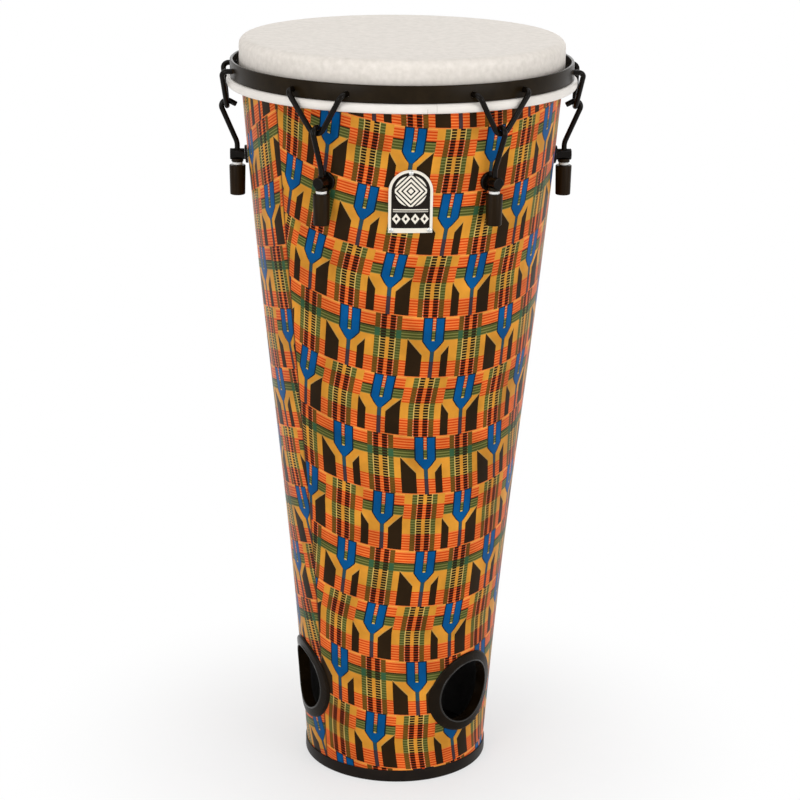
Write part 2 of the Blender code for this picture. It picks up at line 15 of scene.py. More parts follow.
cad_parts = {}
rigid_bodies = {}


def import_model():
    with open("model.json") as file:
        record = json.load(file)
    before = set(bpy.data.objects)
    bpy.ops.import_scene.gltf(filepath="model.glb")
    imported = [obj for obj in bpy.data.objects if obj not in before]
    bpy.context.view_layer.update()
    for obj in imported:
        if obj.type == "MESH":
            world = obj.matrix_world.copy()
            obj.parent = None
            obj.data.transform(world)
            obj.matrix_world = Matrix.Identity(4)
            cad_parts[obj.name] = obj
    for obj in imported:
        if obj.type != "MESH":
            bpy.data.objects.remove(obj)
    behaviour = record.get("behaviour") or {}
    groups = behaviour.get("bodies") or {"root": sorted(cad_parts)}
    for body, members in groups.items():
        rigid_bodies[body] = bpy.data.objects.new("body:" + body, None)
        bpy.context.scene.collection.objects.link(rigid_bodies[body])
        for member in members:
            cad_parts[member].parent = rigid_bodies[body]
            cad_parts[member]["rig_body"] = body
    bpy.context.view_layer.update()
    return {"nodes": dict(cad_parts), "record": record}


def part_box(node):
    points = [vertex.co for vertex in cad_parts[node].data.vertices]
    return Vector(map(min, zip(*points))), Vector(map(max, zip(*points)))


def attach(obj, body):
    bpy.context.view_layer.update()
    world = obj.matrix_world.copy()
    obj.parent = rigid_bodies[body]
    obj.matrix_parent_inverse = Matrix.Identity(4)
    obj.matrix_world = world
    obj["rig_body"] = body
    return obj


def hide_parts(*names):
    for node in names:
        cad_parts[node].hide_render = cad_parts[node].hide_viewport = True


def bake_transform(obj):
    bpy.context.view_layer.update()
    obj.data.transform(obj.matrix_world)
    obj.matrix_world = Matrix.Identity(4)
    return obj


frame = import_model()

SLOTS = {row["node"]: row["material_slot"] for row in frame["record"]["subparts"]}
MM = 0.001

# Camera, as a pinhole over an image 800 pixels wide
IMAGE_WIDTH = 800
FOCAL_PIXELS = 2361.9
SENSOR_WIDTH = 36
CAMERA_DISTANCE = 2.2
CAMERA_HEIGHT = 1.0335
CAMERA_SIDE = 1.4 * MM
CAMERA_PITCH = 0.2951
CAMERA_ROLL = 0.0108
CAMERA_AZIMUTH = -2.8

# Facets round the large pieces, the ports, the small pieces and the wires, and the angle in
# degrees below which neighbouring facets are shaded as one
LARGE_STEPS = 192
PORT_STEPS = 96
SMALL_STEPS = 40
WIRE_STEPS = 24
SMOOTH_ANGLE = 35
FIT_GAP = 0.3 * MM

# Shell, as in the CAD source
SHELL_TOP = 717.5 * MM
SEAT_START = 684 * MM
SHELL_TOP_RADIUS = 150.8 * MM
FOOT_RADIUS = 88.5 * MM
FOOT_HOLLOW = 1.6 * MM
MIDDLE_HOLLOW = 1.5 * MM
SHELL_WALL = 7 * MM
EDGE_ROUND = 6.5 * MM
EDGE_CHAMFER = 1.5 * MM
CONE_RINGS = 60

# Foot ring and sound ports
RING_HEIGHT = 12.1 * MM
RING_SOLE = 3 * MM
RING_WALL = 1.6 * MM
RING_INNER_HEIGHT = 9 * MM
RING_ROUND = 1.5 * MM
PORT_AZIMUTHS = (43.2, -71.2, 166.0)
PORT_HEIGHT = 88 * MM
PORT_RADIUS = 33.3 * MM
TRIM_OPENING_RADIUS = 31.2 * MM
TRIM_FLANGE_RADIUS = 41.6 * MM
TRIM_RISE = 3 * MM
TRIM_TAIL = 1 * MM
TRIM_LIP_ROUND = 0.8 * MM
TRIM_FLANGE_DROP = 0.592 * MM
TRIM_FLANGE_ROUND = 2.2 * MM

# Head, hoop and rim
HEAD_THICKNESS = 1 * MM
HEAD_COLLAR_END = 676.5 * MM
HOOP_INNER = 152.5 * MM
HOOP_TOP = 682.2 * MM
HOOP_HEIGHT = 8.6 * MM
HOOP_ROUND = 3.4 * MM
RIM_INNER = 157.7 * MM
RIM_THICKNESS = 2.8 * MM
RIM_HEIGHT = 15.7 * MM
RIM_ROUND = 1 * MM

# Hooks and rods
WIRE_RADIUS = 2.5 * MM
WIRE_CHAMFER = 0.6 * MM
HOOK_HOLE_RISE = 6.8 * MM
HOOK_HALF_SPREAD = 27.1 * MM
HOOK_DROP = 36.3 * MM
HOOK_BOTTOM_BEND = 8 * MM
HOOK_TOP_BEND = 5 * MM
HOOK_END_PAST_RIM = 1.2 * MM
LEG_CLEARANCE = 0.8 * MM
HOOK_LEAN = 1 * MM
HOOK_PAST_HEAD = 12.2 * MM
ROD_BEND = 15 * MM
ROD_BEND_RISE = 5.7 * MM
ROD_HOOK_TURN = 118
ROD_TAIL = 7 * MM
ROD_THREAD_IN_NUT = 18 * MM

# Lug stations
LUG_AZIMUTHS = (30, 90, 150, 210, 270, 330)
LUG_HEIGHT = 607.5 * MM
PLATE_RADIUS = 8.7 * MM
PLATE_THICKNESS = 2.4 * MM
PLATE_ROUND = 1.2 * MM
BARREL_RADIUS = 5.3 * MM
BARREL_LENGTH = 13.8 * MM
BARREL_ROUND = 0.7 * MM
BARREL_DISH = 0.5 * MM
BARREL_DISH_RIM = 1.5 * MM
BARREL_DISH_SLOPE = 0.4 * MM
CROSS_HOLE_RADIUS = 2.95 * MM
BOLT_RADIUS = 2.2 * MM
BOLT_FLANGE_RADIUS = 7 * MM
BOLT_FLANGE_HEIGHT = 1.4 * MM
BOLT_HEAD_RADIUS = 4.6 * MM
BOLT_HEAD_HEIGHT = 3 * MM
BOLT_SHANK = 14 * MM
BOLT_EDGE = 0.4 * MM
BOLT_SMOOTH_ANGLE = 25
SADDLE_RADIUS = 5.7 * MM
SADDLE_THICKNESS = 1.6 * MM
SADDLE_HORN = 1.4 * MM
NYLON_RADIUS = 4.9 * MM
NYLON_THICKNESS = 2.4 * MM
WASHER_EDGE = 0.3 * MM
NUT_LENGTH = 28.4 * MM
NUT_TOP_RADIUS = 7.7 * MM
NUT_BOTTOM_RADIUS = 7.15 * MM
NUT_ROUND = 1 * MM
NUT_SOCKET_RADIUS = 4.4 * MM
NUT_SOCKET_DEPTH = 5 * MM

# Badge
BADGE_AZIMUTH = 0.8
BADGE_BOTTOM = 563.5 * MM
BADGE_HALF_WIDTH = 19.8 * MM
BADGE_SIDE = 38.2 * MM
BADGE_THICKNESS = 1.2 * MM
BADGE_STRIPS = 28
RIVET_INSET = 2.7 * MM
RIVET_RADIUS = 1.2 * MM
RIVET_HEAD_RADIUS = 2.2 * MM
RIVET_HEAD_HEIGHT = 0.9 * MM

# The badge's ornament, in millimetres up from its foot and aside from its middle line. Its lines
# are a spacing and the share of it that a line takes.
BORDER = 2.5
FOOT_BORDER = 4.4
DIAMONDS_UP = 13.0
DIAMONDS_REACH = 16.6
DIAMOND_HALF_PITCH = 4.2
DIAMOND_LINE = (1.5, 3.9)
DIAMOND_FLATNESS = 0.78
RULES_UP = (19.4, 23.0)
RULES_REACH = 15.6
RULE_LINES = (2.1, 0.5)
DISC_UP = 38.6
DISC_RADIUS = 14.3
DISC_LINES = (4.4, 0.6)

# The shell's seam, in millimetres across it: the painted shade before the line and the painted
# shadow line at the lap, each with its depth, and the step of the lap
SEAM_SHADE = (-3.0, -0.8)
SEAM_SHADE_DEPTH = 0.5
SEAM_SHADOW_LINE = (-0.7, 0.5)
SEAM_SHADOW_DEPTH = 0.85
SEAM_STEP = (-0.5, 0.5)
SEAM_STEP_HEIGHT = 4.0

# Marks of the hoop's joint, from and to in degrees: one on its lower part, and one all over
HOOP_MARKS = ((5.1, 5.35), (8.0, 8.2))
HOOP_MARK_TOP = HOOP_TOP - 0.45 * HOOP_HEIGHT
HOOP_MARK_DEPTH = 0.6

# Distance from the drum's axis over which the floor turns white, and its whiteness there
FLOOR_FADE = (0.08, 0.4)
FLOOR_WHITE = (0.55, 1.0)

# Strength of the world's light, and the lamps: name, place, size and power
WORLD_LIGHT = 0.54
LAMPS_AIM = (0, 0, 0.45)
LAMPS = (
    ("front_left", (-1.7, -2.0, 1.0), 1.4, 20.5),
    ("front_right", (1.9, -1.9, 0.9), 1.4, 20.5),
    ("glint", (-0.9, -2.2, 2.0), 0.1, 2.5),
    ("above", (0.1, -0.3, 2.6), 1.6, 10),
    ("behind", (0.4, 2.4, 1.2), 1.8, 10),
)

# Heights and radii that follow
HEAD_RADIUS = SHELL_TOP_RADIUS + FIT_GAP + HEAD_THICKNESS
HOOP_OUTER = (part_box("flesh_hoop")[1].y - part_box("flesh_hoop")[0].y) / 2
RIM_OUTER = RIM_INNER + RIM_THICKNESS
RIM_BOTTOM = HOOP_TOP + FIT_GAP
HOOK_HOLE_HEIGHT = RIM_BOTTOM + HOOK_HOLE_RISE
LEG_TOP_OUT = HEAD_RADIUS + HOOK_PAST_HEAD + WIRE_RADIUS + LEG_CLEARANCE
HOOK_SEAT_OUT = HEAD_RADIUS + HOOK_PAST_HEAD - HOOK_LEAN
HOOK_SEAT_HEIGHT = HOOK_HOLE_HEIGHT - HOOK_DROP
SADDLE_BOTTOM = LUG_HEIGHT - BARREL_RADIUS - FIT_GAP - SADDLE_THICKNESS
NYLON_BOTTOM = SADDLE_BOTTOM - FIT_GAP - NYLON_THICKNESS
NUT_TOP = NYLON_BOTTOM - FIT_GAP
PLATE_RISE = 2 * FIT_GAP + PLATE_THICKNESS

# The cloth of the printed film: two panels that meet on the seam and on the side opposite it
SEAM_AZIMUTH = -51.3
FRONT_MIDDLE = -2.8
BACK_MIDDLE = -62.8
ROW_PHASE = 0.567
ODD_ROW_SHIFT = 0.12

# Column and row on a panel laid flat, x millimetres across and y down: the count at its origin,
# then the count for each x, y, x * x, y * y and x * y
FRONT_COLUMN = (2.8374, 0.025924, -0.0018364, 0, 0, -0.00000169)
FRONT_ROW = (-0.9521, -0.002187, 0.016926, 0.00001103, 0, 0.00000142)
BACK_COLUMN = (0, 0.0254, 0, 0, -0.0000073, 0)
BACK_ROW = (-0.119, 0.00338, 0.0168, 0, 0, 0)

# Sway of the front panel's columns: wavelength in millimetres, then sine and cosine in columns
SWAYS = ((960, -0.266, -0.798), (490, 0.161, -0.252), (190, -0.043, -0.012))

# Pull of the back panel's rows near the seam's upper end: rows for each millimetre across, and
# where it grows from nothing to full strength, across and down
PULL = 0.005
PULL_ACROSS = (-280, -80)
PULL_DOWN = (165, 55)

# Spacing of the cloth's fine lines, in shares of a row, and the share of it that a line takes
CLOTH_LINES = 1 / 22
EVEN_LINE = 0.5
THIN_LINE = 0.35
LADDER_BAR = 0.68

# Ends of a column's middle, bars, thin stripe and outer stripe, in shares of a repeat
COLUMN_STRIPES = (0.022, 0.083, 0.096, 0.156)

# Half width of an even row's bands round its fork, in shares of a repeat
BAND_REACH = 0.25

# Edges above and below levels, in shares of a row
TOP_LINE = 0.022
GREEN_EDGE = (-0.018, 0.006)
BLOCK_END = 0.985
ARM_EDGE = 0.02

# The fork: half widths in shares of a repeat, and levels in shares of a row
STEM = 0.021
SLOT = 0.028
SLOT_EDGE = 0.018
DOT = 0.015
SLOT_GREEN = 0.22
DOT_TOP = 0.36
SLOT_END = 0.385
FORK_END = 0.395
FORK_TOP = 0.018
STEM_TOP = 0.56

# Width of the fork's dark edge above and below two levels
EDGE_DOWN = (0.5, 0.58)
EDGE_WIDTHS = (0.017, 0.004)

# Layout of the cloth's even and odd rows round their forks, in shares of a repeat across
# and of a row down. A banded row's green runs on through its columns, and a block is its
# outer side and top, then its inner side and top.
EVEN_ROW = {
    "fork": 0.114,
    "banded": False,
    "green": (0.215, 0.375),
    "yellow": (0.375, 0.705),
    "blocks": ((-0.262, 0.437, -0.163, 0.62), (0.245, 0.37, 0.075, 0.615)),
    "columns": 0.5,
    "lean": 0.08,
    "column_yellow": ((0.0, 0.17), (0.43, 0.70)),
}
ODD_ROW = {
    "fork": 0.116,
    "banded": True,
    "green": (0.235, 0.375),
    "yellow": (0.375, 0.73),
    "blocks": ((-0.303, 0.37, -0.12, 0.63), (0.20, 0.47, 0.11, 0.625)),
    "columns": 0.463,
    "lean": 0.0,
    "column_yellow": ((0.375, 0.73),),
}


def ink(red, green, blue):
    """A colour written as in an image, 0 to 255, as the linear one that a shader takes."""
    parts = [value / 255 for value in (red, green, blue)]
    return tuple(p / 12.92 if p <= 0.04045 else ((p + 0.055) / 1.055) ** 2.4 for p in parts) + (1,)


INKS = {
    "orange": ink(248, 134, 62),
    "orange line": ink(221, 70, 12),
    "top line": ink(255, 168, 72),
    "yellow": ink(231, 157, 53),
    "green": ink(81, 86, 36),
    "green line": ink(134, 134, 71),
    "green edge": ink(54, 40, 16),
    "brown": ink(108, 73, 22),
    "brown line": ink(122, 85, 30),
    "pale": ink(228, 190, 102),
    "arm edge": ink(206, 158, 82),
    "pale orange": ink(238, 156, 106),
    "pale orange line": ink(221, 70, 12),
    "teal": ink(58, 98, 66),
    "dark green": ink(58, 78, 46),
    "block": ink(45, 30, 12),
    "bar": ink(18, 10, 6),
    "dark red": ink(160, 58, 18),
    "bar gap": ink(208, 164, 76),
    "blue": ink(0, 87, 149),
    "blue edge": ink(16, 38, 46),
    "stem": ink(44, 80, 96),
    "low stem": ink(68, 56, 62),
}


def shell_radius(height):
    """Outer radius of the cone at a height, as in the CAD source."""
    share = height / SEAT_START
    straight = FOOT_RADIUS + (SHELL_TOP_RADIUS - FOOT_RADIUS) * share
    hollow = FOOT_HOLLOW * sin(2 * pi * share) + MIDDLE_HOLLOW * sin(pi * share)
    return straight - hollow


def shell_tilt(height):
    """Angle between the cone's side and the vertical at a height."""
    return atan2(shell_radius(height + MM) - shell_radius(height - MM), 2 * MM)


def station(azimuth):
    """Matrix that brings a station's +X to an azimuth."""
    return Matrix.Rotation(radians(azimuth - 90), 4, "Z")


# Lays +Z along +X
LYING = Matrix.Rotation(pi / 2, 4, "Y")


def at(*place):
    """Matrix that moves a piece to a place."""
    return Matrix.Translation(place)


def azimuth_of(point):
    return degrees(atan2(point.x, -point.y))


def arc(centre_x, centre_z, radius, start, end, count):
    """Points of an arc in a profile, angles in degrees from +X towards +Z."""
    angles = [radians(start + (end - start) * k / count) for k in range(count + 1)]
    return [(centre_x + radius * cos(angle), centre_z + radius * sin(angle)) for angle in angles]


def smooth(mesh, angle=SMOOTH_ANGLE):
    """Shade a mesh smooth over edges below an angle in degrees."""
    mesh.shade_smooth()
    mesh.set_sharp_from_angle(angle=radians(angle))
    return mesh


def as_mesh(name, shape, angle=SMOOTH_ANGLE):
    """Turn a bmesh into a smoothly shaded mesh."""
    bmesh.ops.remove_doubles(shape, verts=shape.verts, dist=1e-7)
    bmesh.ops.recalc_face_normals(shape, faces=shape.faces)
    mesh = bpy.data.meshes.new(name)
    shape.to_mesh(mesh)
    shape.free()
    return smooth(mesh, angle)


def new_object(name, data):
    """A new object in the scene."""
    made = bpy.data.objects.new(name, data)
    bpy.context.scene.collection.objects.link(made)
    return made


def turned(name, profile, steps, closed=True, start=0.0):
    """Turn a profile of (radius, height) points about Z, from a start angle in radians."""
    shape = bmesh.new()
    rings = []
    for radius, height in profile:
        if radius < 1e-9:
            rings.append([shape.verts.new((0, 0, height))] * steps)
            continue
        angles = [start + 2 * pi * k / steps for k in range(steps)]
        rings.append([shape.verts.new((radius * cos(a), radius * sin(a), height)) for a in angles])
    for upper, lower in zip(rings, rings[1:] + rings[:1] if closed else rings[1:]):
        for k in range(steps):
            after = (k + 1) % steps
            corners = dict.fromkeys((upper[k], lower[k], lower[after], upper[after]))
            if len(corners) > 2:
                shape.faces.new(corners)
    return as_mesh(name, shape)


def outward(azimuth, out, height, side=0.0):
    """Matrix of a cylinder whose axis points out from the drum."""
    return station(azimuth) @ at(out, side, height) @ LYING


def cut_mesh(mesh, cylinders):
    """Return a mesh less (matrix, radius, depth, sides) cylinders, both in the same frame."""
    shape = bmesh.new()
    for matrix, radius, depth, sides in cylinders:
        bmesh.ops.create_cone(shape, cap_ends=True, segments=sides, radius1=radius, radius2=radius,
                              depth=depth, matrix=matrix)
    cutter = new_object("cutter", bpy.data.meshes.new("cutter"))
    shape.to_mesh(cutter.data)
    shape.free()
    blank = new_object("blank", mesh)
    boolean = blank.modifiers.new("Cut", "BOOLEAN")
    boolean.operation = "DIFFERENCE"
    boolean.solver = "EXACT"
    boolean.object = cutter
    bpy.context.view_layer.update()
    made = bpy.data.meshes.new_from_object(blank.evaluated_get(bpy.context.evaluated_depsgraph_get()))
    for holder in (cutter, blank):
        bpy.data.objects.remove(holder, do_unlink=True)
    return smooth(made)


def lay_on_shell(mesh, height):
    """Lay a flat piece on the shell, in the frame of its station.

    Before: x runs sideways, y up from the given height, and z is the rise above the shell."""
    for vertex in mesh.vertices:
        side, up, rise = vertex.co
        level = height + up
        reach = shell_radius(level) + rise
        vertex.co = (sqrt(reach ** 2 - side ** 2), side, level)
    return mesh


def bend(before, corner, after, radius, count):
    """Points of the bend that rounds one corner of a wire's route."""
    inward = (before - corner).normalized()
    onward = (after - corner).normalized()
    half = inward.angle(onward) / 2
    length = radius / tan(half)
    middle = corner + (inward + onward).normalized() * (radius / sin(half))
    start = corner + inward * length - middle
    end = corner + onward * length - middle
    turns = [start.slerp(end, k / count) for k in range(count + 1)]
    return [middle + turn * radius / turn.length for turn in turns]


def tube(name, points):
    """A round wire along points, with chamfered ends."""
    first = (points[1] - points[0]).normalized()
    last = (points[-1] - points[-2]).normalized()
    thin = WIRE_RADIUS - WIRE_CHAMFER
    rings = [(points[0], thin), (points[0] + first * WIRE_CHAMFER, WIRE_RADIUS)]
    rings += [(point, WIRE_RADIUS) for point in points[1:-1]]
    rings += [(points[-1] - last * WIRE_CHAMFER, WIRE_RADIUS), (points[-1], thin)]
    centres = [centre for centre, _ in rings]
    across = first.orthogonal()
    shape = bmesh.new()
    made = []
    for k, (centre, radius) in enumerate(rings):
        along = (centres[min(k + 1, len(rings) - 1)] - centres[max(k - 1, 0)]).normalized()
        across = (across - along * across.dot(along)).normalized()
        other = along.cross(across)
        angles = [2 * pi * s / WIRE_STEPS for s in range(WIRE_STEPS)]
        made.append([shape.verts.new(centre + radius * (across * cos(a) + other * sin(a)))
                     for a in angles])
    for near, far in zip(made, made[1:]):
        for s in range(WIRE_STEPS):
            after = (s + 1) % WIRE_STEPS
            shape.faces.new((near[s], near[after], far[after], far[s]))
    shape.faces.new(made[0])
    shape.faces.new(made[-1])
    return as_mesh(name, shape)


def show(node, mesh, matrix=Matrix.Identity(4), ride=True):
    """Show a finer piece in place of the CAD node that it is named after."""
    piece = new_object(f"{node}_fine", mesh)
    if not mesh.materials:
        mesh.materials.append(FINISHES[SLOTS[node]])
    piece.matrix_world = matrix
    if ride:
        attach(piece, frame["nodes"][node]["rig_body"])
    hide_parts(node)
    return piece


def put(value, socket):
    """Link a value or a node's output into a socket, or write a plain value there."""
    source = getattr(value, "socket", value)
    if isinstance(source, bpy.types.NodeSocket):
        socket.id_data.links.new(source, socket)
    else:
        socket.default_value = source


def add(tree, kind, *values):
    """A new shader node, with its first inputs filled."""
    node = tree.nodes.new(f"ShaderNode{kind}")
    for value, socket in zip(values, node.inputs):
        put(value, socket)
    return node


def fill(node, **values):
    """Fill a node's inputs by name."""
    for name, value in values.items():
        put(value, node.inputs[name])
    return node


class Value:
    """A number or colour in a node tree. Sums add a node for each step, and a mask is 1 or 0."""

    def __init__(self, socket):
        self.socket = socket
        self.id_data = socket.id_data

    def step(self, operation, *others):
        node = add(self.id_data, "Math", self, *others)
        node.operation = operation
        return Value(node.outputs[0])

    __add__ = partialmethod(step, "ADD")
    __sub__ = partialmethod(step, "SUBTRACT")
    __mul__ = partialmethod(step, "MULTIPLY")
    __truediv__ = partialmethod(step, "DIVIDE")
    __lt__ = partialmethod(step, "LESS_THAN")
    __gt__ = partialmethod(step, "GREATER_THAN")
    __and__ = partialmethod(step, "MULTIPLY")
    __or__ = partialmethod(step, "MAXIMUM")
    __abs__ = partialmethod(step, "ABSOLUTE")
    at_least = partialmethod(step, "MAXIMUM")
    at_most = partialmethod(step, "MINIMUM")
    times_plus = partialmethod(step, "MULTIPLY_ADD")

    def __rsub__(self, other):
        return self.times_plus(-1, other)

    def wrap(self, reach):
        """The same value a whole number of turns on, between -reach and reach."""
        return self.step("WRAP", reach, -reach)

    def between(self, low, high):
        """1 from low to high, and 0 elsewhere."""
        return self.step("COMPARE", (low + high) / 2, (high - low) / 2)

    def lines(self, spacing, share):
        """Thin lines: 1 over a share of each spacing."""
        return (self / spacing).step("FRACT") < share

    def spread(self, limits, results, smooth=False):
        """The value brought from between its limits to between two results, and kept there."""
        node = add(self.id_data, "MapRange", self, *limits, *results)
        node.interpolation_type = "SMOOTHSTEP" if smooth else "LINEAR"
        return Value(node.outputs["Result"])


def mix(factor, below, above, blend="MIX"):
    """A colour that goes from below to above as the factor grows."""
    node = add((factor if isinstance(factor, Value) else below).id_data, "Mix")
    node.data_type = "RGBA"
    node.blend_type = blend
    return Value(fill(node, Factor=factor, A=below, B=above).outputs["Result"])


def noise(vector, scale, detail):
    node = add(vector.id_data, "TexNoise")
    return Value(fill(node, Vector=vector, Scale=scale, Detail=detail).outputs["Fac"])


def own_place(tree):
    """The place on a piece, in its own frame."""
    return add(tree, "TexCoord").outputs["Object"]


def parts(vector):
    """X, Y and Z of a vector."""
    return [Value(socket) for socket in add(vector.id_data, "SeparateXYZ", vector).outputs]


def add_group(tree, name, **values):
    """Outputs of a node group, with values for its named inputs."""
    node = add(tree, "Group")
    node.node_tree = GROUPS[name]
    node.name = name
    return fill(node, **values).outputs


def seen_white(tree):
    """1 for rays that see the background white: from the camera, off gloss and through glass."""
    rays = add(tree, "LightPath").outputs
    return reduce(or_, [Value(rays[f"Is {kind} Ray"]) for kind in ("Camera", "Glossy", "Transmission")])


def repaint(paint, mask, below, above):
    """Give a material a colour that goes from below to above where a mask is 1."""
    fill(paint.node_tree.nodes["Principled BSDF"], **{"Base Color": mix(mask, below, above)})
    return paint


def new_group(name, inputs, outputs):
    """A shader node group with named (name, kind) sockets, and its inputs and outputs inside."""
    tree = bpy.data.node_groups.new(name, "ShaderNodeTree")
    for sockets, way in ((inputs, "INPUT"), (outputs, "OUTPUT")):
        for title, kind in sockets:
            tree.interface.new_socket(name=title, in_out=way, socket_type=f"NodeSocket{kind}")
    return tree, tree.nodes.new("NodeGroupInput").outputs, tree.nodes.new("NodeGroupOutput").inputs


def cloth_row(across, down, layout):
    """Colour of one row of the cloth, from the share across its repeat and the share down it."""
    def lined(name, share):
        """An ink crossed by thin lines of its darker or lighter one."""
        return mix(down.lines(CLOTH_LINES, share), INKS[name], INKS[f"{name} line"])

    across = (0.5 - down).at_least(0.0).times_plus(-layout["lean"], across).wrap(0.5)
    aside = abs(across)
    off = abs((across - layout["columns"]).wrap(0.5))
    orange = lined("orange", EVEN_LINE)
    pale_orange = lined("pale orange", EVEN_LINE)
    green = lined("green", THIN_LINE)
    in_green = down.between(*layout["green"])
    in_column_yellow = reduce(or_, [down.between(*levels) for levels in layout["column_yellow"]])

    colour = mix(down.between(*layout["yellow"]), orange, INKS["yellow"])
    colour = mix(down.between(0, TOP_LINE), colour, INKS["top line"])
    colour = mix(in_green, colour, green)
    colour = mix(down.between(*(layout["green"][0] + edge for edge in GREEN_EDGE)), colour,
                 INKS["green edge"])
    middle = mix(in_column_yellow, orange, INKS["yellow"])
    if not layout["banded"]:
        colour = mix(aside < BAND_REACH, middle, colour)

    outer = mix(in_column_yellow, lined("brown", THIN_LINE), green)
    ladder = down.lines(CLOTH_LINES, LADDER_BAR)
    bars = mix(ladder, mix(in_column_yellow, INKS["dark red"], INKS["bar gap"]), INKS["bar"])
    thin = mix(in_column_yellow, pale_orange, INKS["pale"])
    stripes = (middle, bars, thin, outer)
    if layout["banded"]:
        crossings = (green, mix(ladder, INKS["dark green"], INKS["block"]), green, INKS["teal"])
        stripes = [mix(in_green, stripe, crossing) for stripe, crossing in zip(stripes, crossings)]
    for start, end, stripe in zip((0, *COLUMN_STRIPES), COLUMN_STRIPES, stripes):
        colour = mix(off.between(start, end), colour, stripe)

    for outer_side, outer_top, inner_side, inner_top in layout["blocks"]:
        slope = (inner_top - outer_top) / (inner_side - outer_side)
        past = down - across.times_plus(slope, outer_top - slope * outer_side)
        beside = across.between(*sorted((outer_side, inner_side))) & (down < BLOCK_END)
        for start, name in ((-ARM_EDGE, "arm edge"), (0.0, "block")):
            colour = mix(beside & (past > start), colour, INKS[name])

    fork = layout["fork"]
    slope = (STEM - fork) / (STEM_TOP - FORK_END)
    width = down.times_plus(slope, fork - slope * FORK_END).at_least(STEM).at_most(fork)
    colour = mix(aside < width + down.spread(EDGE_DOWN, EDGE_WIDTHS), colour, INKS["blue edge"])
    body = mix(down > STEM_TOP, INKS["blue"], INKS["stem"])
    body = mix(down < FORK_TOP, body, INKS["blue edge"])
    body = mix(down > layout["yellow"][1], body, INKS["low stem"])
    colour = mix(aside < width, colour, body)
    slot = mix(down > SLOT_GREEN, pale_orange, green)
    slot = mix(aside > SLOT_EDGE, slot, INKS["blue edge"])
    slot = mix((aside < DOT) & (down > DOT_TOP), slot, INKS["pale"])
    return mix((aside < SLOT) & (down < SLOT_END), colour, slot)


def kente_group():
    """The printed cloth, by column and row: columns count half repeats, and rows count downwards."""
    tree, given, made = new_group("kente_cloth", [("Column", "Float"), ("Row", "Float")],
                                  [("Color", "Color")])
    level = Value(given["Row"]) + ROW_PHASE
    number = level.step("FLOOR")
    down = level.step("FRACT")
    odd = (number * 0.5).step("FRACT") > 0.25
    across = (Value(given["Column"]) - odd.times_plus(ODD_ROW_SHIFT, number)) * 0.5
    rows = [cloth_row(across, down, layout) for layout in (EVEN_ROW, ODD_ROW)]
    put(mix(odd, *rows), made["Color"])
    return tree


def surface_group():
    """Cloudy colour, uneven gloss and a fine grain."""
    given = [("Vector", "Vector"), ("Dark", "Color"), ("Light", "Color"), ("Scale", "Float"),
             ("Roughness", "Float"), ("Unevenness", "Float"), ("Grain", "Float")]
    made = [("Color", "Color"), ("Roughness", "Float"), ("Height", "Float")]
    tree, given, made = new_group("surface", given, made)
    cloud = noise(given["Vector"], given["Scale"], 6.0)
    put(mix(cloud.spread((0.3, 0.7), (0.0, 1.0)), given["Dark"], given["Light"]), made["Color"])
    uneven = (cloud - 0.5) * given["Unevenness"]
    put(Value(given["Roughness"]) + uneven, made["Roughness"])
    put(noise(given["Vector"], given["Grain"], 3.0), made["Height"])
    return tree


def finish(name, dark, light, roughness, scale=80.0, uneven=0.12, grain=1800.0, relief=0.04,
           stretch=(1, 1, 1), specular=0.5, metallic=0.0):
    """A material from the surface group, with one specular level and metallic value all over."""
    paint = bpy.data.materials.new(name)
    paint.use_nodes = True
    tree = paint.node_tree
    place = fill(add(tree, "Mapping", own_place(tree)), Scale=stretch).outputs["Vector"]
    surface = add_group(tree, "surface", Vector=place, Dark=ink(*dark), Light=ink(*light), Scale=scale,
                        Roughness=roughness, Unevenness=uneven, Grain=grain)
    bump = fill(add(tree, "Bump"), Strength=1.0, Distance=relief * MM, Height=surface["Height"])
    bump.name = "bump"
    fill(tree.nodes["Principled BSDF"], Roughness=surface["Roughness"], Metallic=metallic,
         Normal=bump.outputs["Normal"],
         **{"Base Color": surface["Color"], "Specular IOR Level": specular})
    return paint


def printed_film():
    """The film on the shell: the cloth, with the painted shadow of its lapped seam and the step of the
    lap.
    """
    paint = finish("printed_film", (205, 205, 205), (250, 250, 250), 0.33, scale=35, grain=900,
                   relief=0.03, specular=0.05)
    tree = paint.node_tree
    film = add(tree, "Attribute")
    film.attribute_name = "film"
    column, row, seam = parts(film.outputs["Vector"])
    cloth = add_group(tree, "kente", Column=column, Row=row)
    surface = tree.nodes["surface"].outputs
    lap = seam.spread(SEAM_STEP, (0.0, SEAM_STEP_HEIGHT), smooth=True)
    fill(tree.nodes["bump"], Height=lap + surface["Height"])
    # Painted shade before the seam and a painted shadow line along the lap darken the cloth's colour
    before = seam.spread(SEAM_SHADE, (0.0, SEAM_SHADE_DEPTH), smooth=True) & (seam < 0.0)
    dark = before | seam.between(*SEAM_SHADOW_LINE) * SEAM_SHADOW_DEPTH
    return repaint(paint, dark, mix(1.0, cloth["Color"], surface["Color"], "MULTIPLY"), ink(26, 18, 12))


